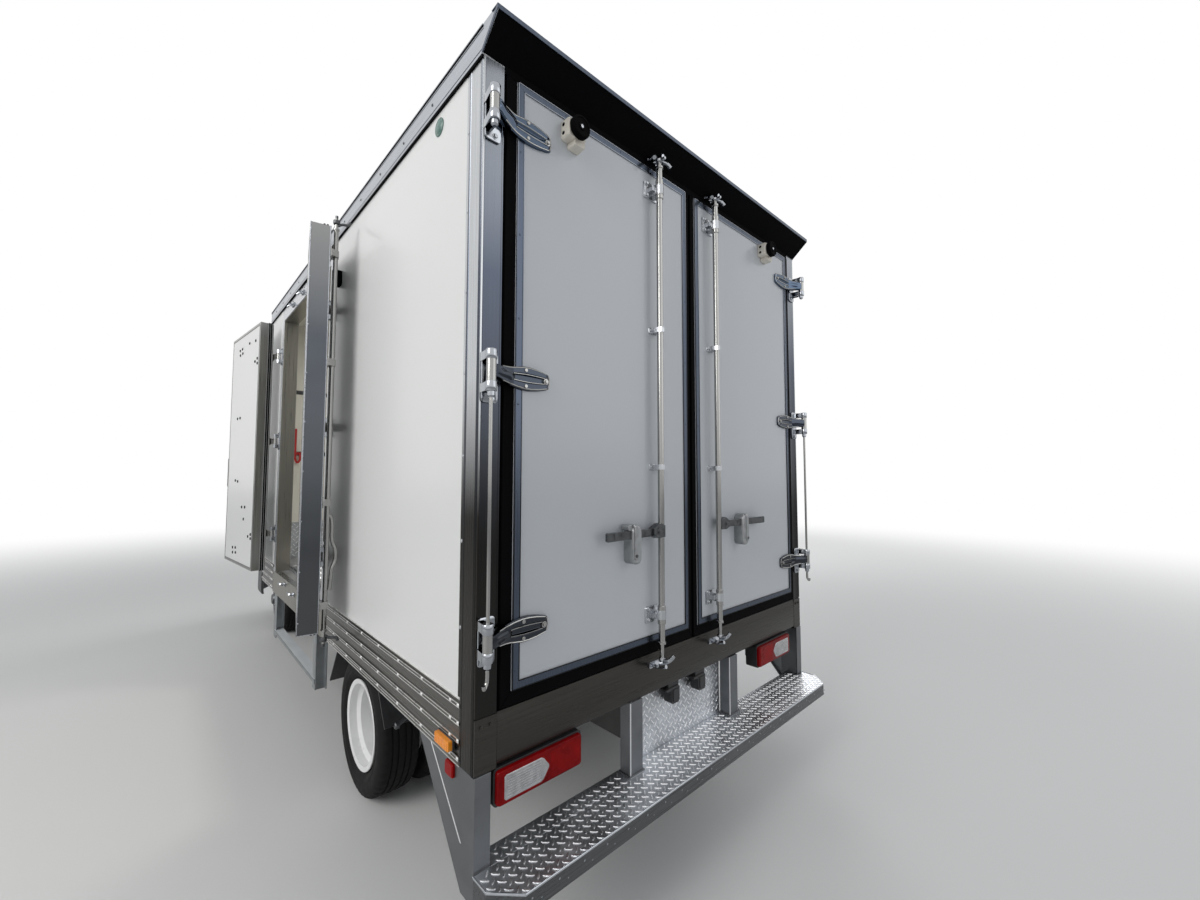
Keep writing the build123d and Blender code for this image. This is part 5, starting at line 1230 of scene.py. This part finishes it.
# columns: height, place of the front face
UNIT_FACE = ((2560, 4240), (2900, 4225))
FAN_Y = 3975


def on_unit(x, z):
    return (x, between(UNIT_FACE, z), z)


def upright(low, high, near, far):
    """Outline of a strip on the unit's leaning front between two distances out of it."""
    outline = ((low, near), (low, far), (high, far), (high, near))
    return [(between(UNIT_FACE, z) + out, z) for z, out in outline]


unit = Shape().bezel([on_unit(*p) for p in rounded((-622, 2598), (622, 2876), 36)],
                     [on_unit(*p) for p in rounded((-604, 2616), (604, 2858), 24)], (0, 1, 0), 7, 20)
unit.prism(upright(2600, 2872, -9, 2), "x", -608, 608)
for z in range(2622, 2850, 22):
    face = between(UNIT_FACE, z)
    unit.prism(((face, z), (face + 9, z + 4), (face + 9, z + 8), (face, z + 15)), "x", -600, 600)
for x in (-300, 0, 300):
    unit.prism(upright(2612, 2860, 0, 8), "x", x - 6, x + 6)
for unit.side in BOTH:
    for z in range(2600, 2800, 26):
        unit.box((UNIT_HALF, UNIT_HALF + 4), (3900, 4100), (z, z + 12))
piece("unit_grilles", unit, black_plastic, 1)
guards, wells = Shape(), Shape()
for x in (-340, 0, 340):
    wells.disc((x, FAN_Y, 2989), "z", 106, ((0, 1), (2, 1)), 48)
    wells.lathe(((2991, 98), (2991, 110), (3006, 110), (3006, 98)), (x, FAN_Y, 0), "z", 48)
    for radius in (26, 48, 70, 92):
        guards.lathe(corners((3003, radius), (3007, radius + 4)), (x, FAN_Y, 0), "z", 48)
    guards.box((x - 104, x + 104), (FAN_Y - 2, FAN_Y + 2), (3002, 3006))
    guards.box((x - 2, x + 2), (FAN_Y - 104, FAN_Y + 104), (3002, 3006))
    guards.disc((x, FAN_Y, 3000), "z", 24, ((0, 1), (8, 1), (10, 0.8)), 28)
piece("unit_fan_wells", wells, black_plastic)
piece("unit_fan_guards", guards, steel_dark, slot="chrome")
lines, screws = Shape(), Shape()
lines.tube([(-690, 4102, 2990), (690, 4102, 2990)], 1.6, 6)
for side in BOTH:
    lines.side = screws.side = side
    for path in ([(640, 3860, 2991), (640, 4098, 2991)], [(700.5, 4120, 2500), (700.5, 4120, 2970)],
                 [(700.5, 3860, 2560), (700.5, 4110, 2560)]):
        lines.tube(path, 1.6, 6)
    for z in (2540, 2700, 2860, 2960):
        for y in (4150, 3868):
            screws.bolt((UNIT_HALF, y, z), "x", 7, 6)
    screws.plate((430, 2530), (520, 2566), 6, "y", 4230, 4246)
piece("unit_seams", lines, rubber)
piece("unit_fasteners", screws, steel_dark, 0.6)

# Front wall trims and marker lamps
trims, dots, clear = Shape(), Shape(), Shape()
for z in ((2976, 3016), (790, 830)):
    trims.box((-1052, 1052), (3829, 3833), z)
for side in BOTH:
    trims.side = dots.side = clear.side = side
    trims.box((1052, 1102), (3829, 3833), (790, 3016))
    trims.box((1099, 1102.5), (3786, 3833), (921, 3008))
    for z in range(980, 3000, 205):
        dots.rivet((1102.5, 3810, z), "x", 5, 2.4)
        dots.rivet((1076, 3833, z), "y", 5, 2.4)
    clear.plate((960, 2930), (1040, 2966), 10, "y", 3830, (3848, 0.9))
piece("front_wall_trims", trims, bright, 0.8)
piece("front_wall_rivets", dots, steel_dark)
piece("front_marker_lamps", clear, lens_clear, 1.5)

# Running gear details
clamps, bands, fill, stay = [Shape() for _ in range(4)]
for side in BOTH:
    clamps.side = stay.side = side
    for axle in (REAR_AXLE, FRONT_AXLE):
        for y in (axle - 58, axle + 58):
            clamps.tube([(288, y, 372), (288, y, 528), (352, y, 528), (352, y, 372)], 7, 8)
        clamps.box((280, 360), (axle - 74, axle + 74), (520, 532))
    stay.tube([(640, 905, 600), (900, 890, 560), (1000, 880, 512)], 9, 10)
    stay.disc((1000, 880, 512), "x", 15, ((-6, 1), (8, 1), (12, 0.7)), 18)
piece("spring_clamps", clamps, steel_dark, slot="chassis_black")
for y in (2300, 2820):
    bands.bezel([(a, y, b) for a, b in rounded((347, 327), (903, 658), 34)],
                [(a, y, b) for a, b in rounded((350, 330), (900, 655), 32)], (0, 1, 0), 46, 0, 1)
fill.lathe(((898, 0), (898, 46), (906, 50), (930, 50), (936, 44), (938, 0)), (0, 2220, 560), "x", 32)
for y in range(3300, 3700, 90):
    fill.box((859, 864), (y, y + 40), (420, 600))
piece("tank_bands", bands, steel_dark, slot="galvanised")
piece("tank_cap_and_vents", fill, black_plastic, 1)
piece("mudguard_stays", stay, steel_dark, slot="chassis_black")

# Seats
SEATS_X = (-510, 0, 510)


def filled(made, voxel=0.011, cap=0.014):
    """Cover of a pad blown out by cloth pressure, each point moved by no more than cap."""
    scene = bpy.context.scene
    remesh = made.modifiers.new("Remesh", "REMESH")
    remesh.mode = "VOXEL"
    remesh.voxel_size = voxel

    def evaluated():
        graph = bpy.context.evaluated_depsgraph_get()
        mesh = bpy.data.meshes.new_from_object(made.evaluated_get(graph))
        made.modifiers.clear()
        made.data = mesh
        return mesh

    mesh = evaluated()
    before = [v.co.copy() for v in mesh.vertices]
    cloth = made.modifiers.new("Cloth", "CLOTH")
    cloth.settings.use_pressure = True
    cloth.settings.uniform_pressure_force = 4
    cloth.settings.effector_weights.gravity = 0
    for step in range(1, 21):
        scene.frame_set(step)
    mesh = evaluated()
    scene.frame_set(1)
    for vertex, start in zip(mesh.vertices, before):
        moved = vertex.co - start
        if moved.length > cap:
            vertex.co = start + moved * (cap / moved.length)
    mesh.polygons.foreach_set("use_smooth", [True] * len(mesh.polygons))


PADS = (
    ("cushion", Shape().plate((-226, 4254), (226, 4756), 56, "z", (1078, 0.95), 1094, 1196, (1208, 0.95))),
    ("back", Shape().plate((-222, 1222), (222, 1640), 60, "y", (4222, 0.95), 4214, 4136, (4124, 0.95))),
    ("headrest", Shape().plate((-120, 1676), (120, 1822), 44, "y", (4208, 0.93), 4198, 4140, (4130, 0.93))),
)
pads = {}
for label, shape in PADS:
    pad = piece(f"seat_{label}_middle", shape, seat_cloth, 0, "cab",
                replaces=["seats"] if label == "cushion" else ())
    filled(pad)
    pads[label] = pad
for place, x in (("left", SEATS_X[0]), ("right", SEATS_X[2])):
    for label, pad in pads.items():
        mesh = pad.data.copy()
        mesh.transform(Matrix.Translation((x * MM, 0, 0)))
        twin = linked(f"seat_{label}_{place}", mesh)
        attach(twin, "cab")
piping, posts = Shape(), Shape()
for x in SEATS_X:
    loop = rounded((x - 232, 4248), (x + 232, 4762), 60)
    piping.tube([(a, b, 1208) for a, b in loop + loop[:1]], 4, 8)
    loop = rounded((x - 228, 1216), (x + 228, 1646), 62)
    piping.tube([(a, 4222, b) for a, b in loop + loop[:1]], 4, 8)
    posts.box((x - 200, x + 200), (4270, 4740), (1066, 1080))
    for reach in (-50, 50):
        posts.tube([(x + reach, 4170, 1630), (x + reach, 4170, 1690)], 7, 10)
    posts.box((x + 236, x + 262) if x < 0 else (x - 262, x - 236), (4200, 4260), (1070, 1130))
piece("seat_piping", piping, seat_vinyl, 0, "cab")
piece("seat_posts", posts, steel_dark, 2, "cab", "chrome")

# Controls
WHEEL = Vector((440, 5190, 1330))
TILT = math.radians(35)
WHEEL_RADIUS, GRIP_RADIUS = 200, 17.5
column = Shape(turn=Matrix.Translation(WHEEL) @ Matrix.Rotation(-TILT, 4, "X"))
turns = [2 * math.pi * s / 12 for s in range(12)]
column.lathe([(GRIP_RADIUS * math.sin(t), WHEEL_RADIUS + GRIP_RADIUS * math.cos(t)) for t in turns],
             (0, 0, 0), "y", 64)
column.disc((0, -17, 0), "y", 62, ((0, 0.9), (4, 1), (26, 1), (30, 0.9)), 36)
for turn in BOTH:
    column.prism(((turn * 50, -14), (turn * 190, -10), (turn * 190, 14), (turn * 50, 22)), "y", -8, 8)
    column.tube([(turn * 30, 120, 10), (turn * 210, 110, 30)], 8, 10)
piece("steering_wheel_cover", column, black_plastic, 1, "cab", "interior_grey")
dials, hood = Shape(), Shape()
hood.prism(((5300, 1330), (5420, 1420), (5500, 1420), (5520, 1350), (5430, 1362)), "x", 270, 610)
for x in (360, 440, 520):
    dials.lathe(((0, 0), (0, 34), (-6, 38), (-9, 38), (-9, 34), (-3, 30), (-3, 0)), (x, 5352, 1362), "y", 32)
for x in (-600, -200, 120):
    hood.plate((x - 70, 1210), (x + 70, 1262), 12, "y", 5330, 5296)
    for z in (1220, 1234, 1248):
        dials.box((x - 60, x + 60), (5290, 5297), (z, z + 5))
hood.plate((-90, 1010), (90, 1170), 12, "y", 5330, 5312)
dials.tube([(60, 5180, 882), (60, 5170, 1080), (60, 5150, 1160)], 9, 12)
dials.disc((60, 5150, 1155), "z", 24, ((0, 0.5), (10, 1), (34, 1), (44, 0.6)), 20)
for x in (380, 450, 520):
    dials.prism(((5380, 930), (5392, 930), (5350, 1010), (5338, 1006)), "x", x - 22, x + 22)
piece("dashboard_hood", hood, interior_grey, 3, "cab")
piece("dashboard_controls", dials, black_plastic, 0, "cab")

# Camera, light and floor
CAMERA_PLACE = (-1.7873, -4.1792, 1.6308)
CAMERA_YAW, CAMERA_PITCH, CAMERA_ROLL = 42.9525, 3.1392, 0.0690
camera_data = bpy.data.cameras.new("camera")
camera_data.sensor_width = 36
camera_data.lens = 14.378
camera_data.clip_end = 200
camera = linked("camera", camera_data)
camera.matrix_world = (Matrix.Translation(CAMERA_PLACE)
                       @ Matrix.Rotation(math.radians(-CAMERA_YAW), 4, "Z")
                       @ Matrix.Rotation(math.radians(90 + CAMERA_PITCH), 4, "X")
                       @ Matrix.Rotation(math.radians(CAMERA_ROLL), 4, "Z"))
bpy.context.scene.camera = camera

# The sky is white where the camera, a mirror or glass shows it, and lights the truck more weakly.
world = bpy.data.worlds.new("studio")
bpy.context.scene.world = world
world.use_nodes = True
nodes, links = world.node_tree.nodes, world.node_tree.links
sky = nodes["Background"]
sky.inputs["Color"].default_value = (0.93, 0.96, 1.0, 1)
sky.inputs["Strength"].default_value = 0.36
plain = node(nodes, "Background", Color=(1, 1, 1, 1), Strength=1)
ray = node(nodes, "LightPath").outputs
either = node(nodes, "Math", "MAXIMUM")
third = node(nodes, "Math", "MAXIMUM")
shown = node(nodes, "MixShader")
joined(links, ray["Is Camera Ray"], either.inputs[0], ray["Is Glossy Ray"], either.inputs[1],
       either.outputs["Value"], third.inputs[0], ray["Is Transmission Ray"], third.inputs[1],
       third.outputs["Value"], shown.inputs["Fac"], sky.outputs["Background"], shown.inputs[1],
       plain.outputs["Background"], shown.inputs[2],
       shown.outputs["Shader"], nodes["World Output"].inputs["Surface"])


def area_light(name, place, target, size, watts, colour):
    data = bpy.data.lights.new(name, "AREA")
    data.energy = watts
    data.size = size
    data.color = colour
    made = linked(name, data)
    made.location = place
    made.rotation_euler = (Vector(target) - Vector(place)).to_track_quat("-Z", "Y").to_euler()


area_light("key_left", (-8.5, -2.6, 6.0), (-1, 0, 1.5), 5.0, 400, (1, 0.99, 0.975))
area_light("fill_rear", (3.0, -8.5, 4.5), (0, -2.8, 1.6), 5.0, 60, (0.96, 0.98, 1))
area_light("load_space_lamp", (0.06, -0.4, 2.98), (0.06, -0.4, 0), 0.5, 14, (1, 0.97, 0.9))
area_light("fill_right", (8.0, 3.0, 5.5), (0, 0, 1.2), 5.0, 260, (1, 1, 1))

FLOOR_REACH = 60
FADE_START, FADE_END = 4.5, 16
floor_mesh = bpy.data.meshes.new("floor")
floor_corners = corners((-FLOOR_REACH, -FLOOR_REACH), (FLOOR_REACH, FLOOR_REACH))
floor_mesh.from_pydata([(*corner, 0) for corner in floor_corners], [], [(0, 1, 2, 3)])
floor = linked("floor", floor_mesh)
# Away from the truck the floor fades into the white of the sky.
floor_paint = surface("studio_floor", (0.80, 0.80, 0.79), 0.8, 0, 0.4, 0.01, 0.02)
nodes, links = floor_paint.node_tree.nodes, floor_paint.node_tree.links
reached = node(nodes, "VectorMath", "LENGTH")
fade = node(nodes, "MapRange", From_Min=FADE_START, From_Max=FADE_END)
fade.interpolation_type = "SMOOTHSTEP"
share = node(nodes, "Math", "MULTIPLY")
both = node(nodes, "MixShader")
joined(links, node(nodes, "TexCoord").outputs["Object"], reached.inputs[0],
       reached.outputs["Value"], fade.inputs["Value"], fade.outputs["Result"], share.inputs[0],
       node(nodes, "LightPath").outputs["Is Camera Ray"], share.inputs[1],
       share.outputs["Value"], both.inputs["Fac"], nodes["Principled BSDF"].outputs["BSDF"], both.inputs[1],
       node(nodes, "Emission").outputs["Emission"], both.inputs[2],
       both.outputs["Shader"], nodes["Material Output"].inputs["Surface"])
floor_mesh.materials.append(floor_paint)

bpy.context.scene.view_settings.view_transform = "Standard"
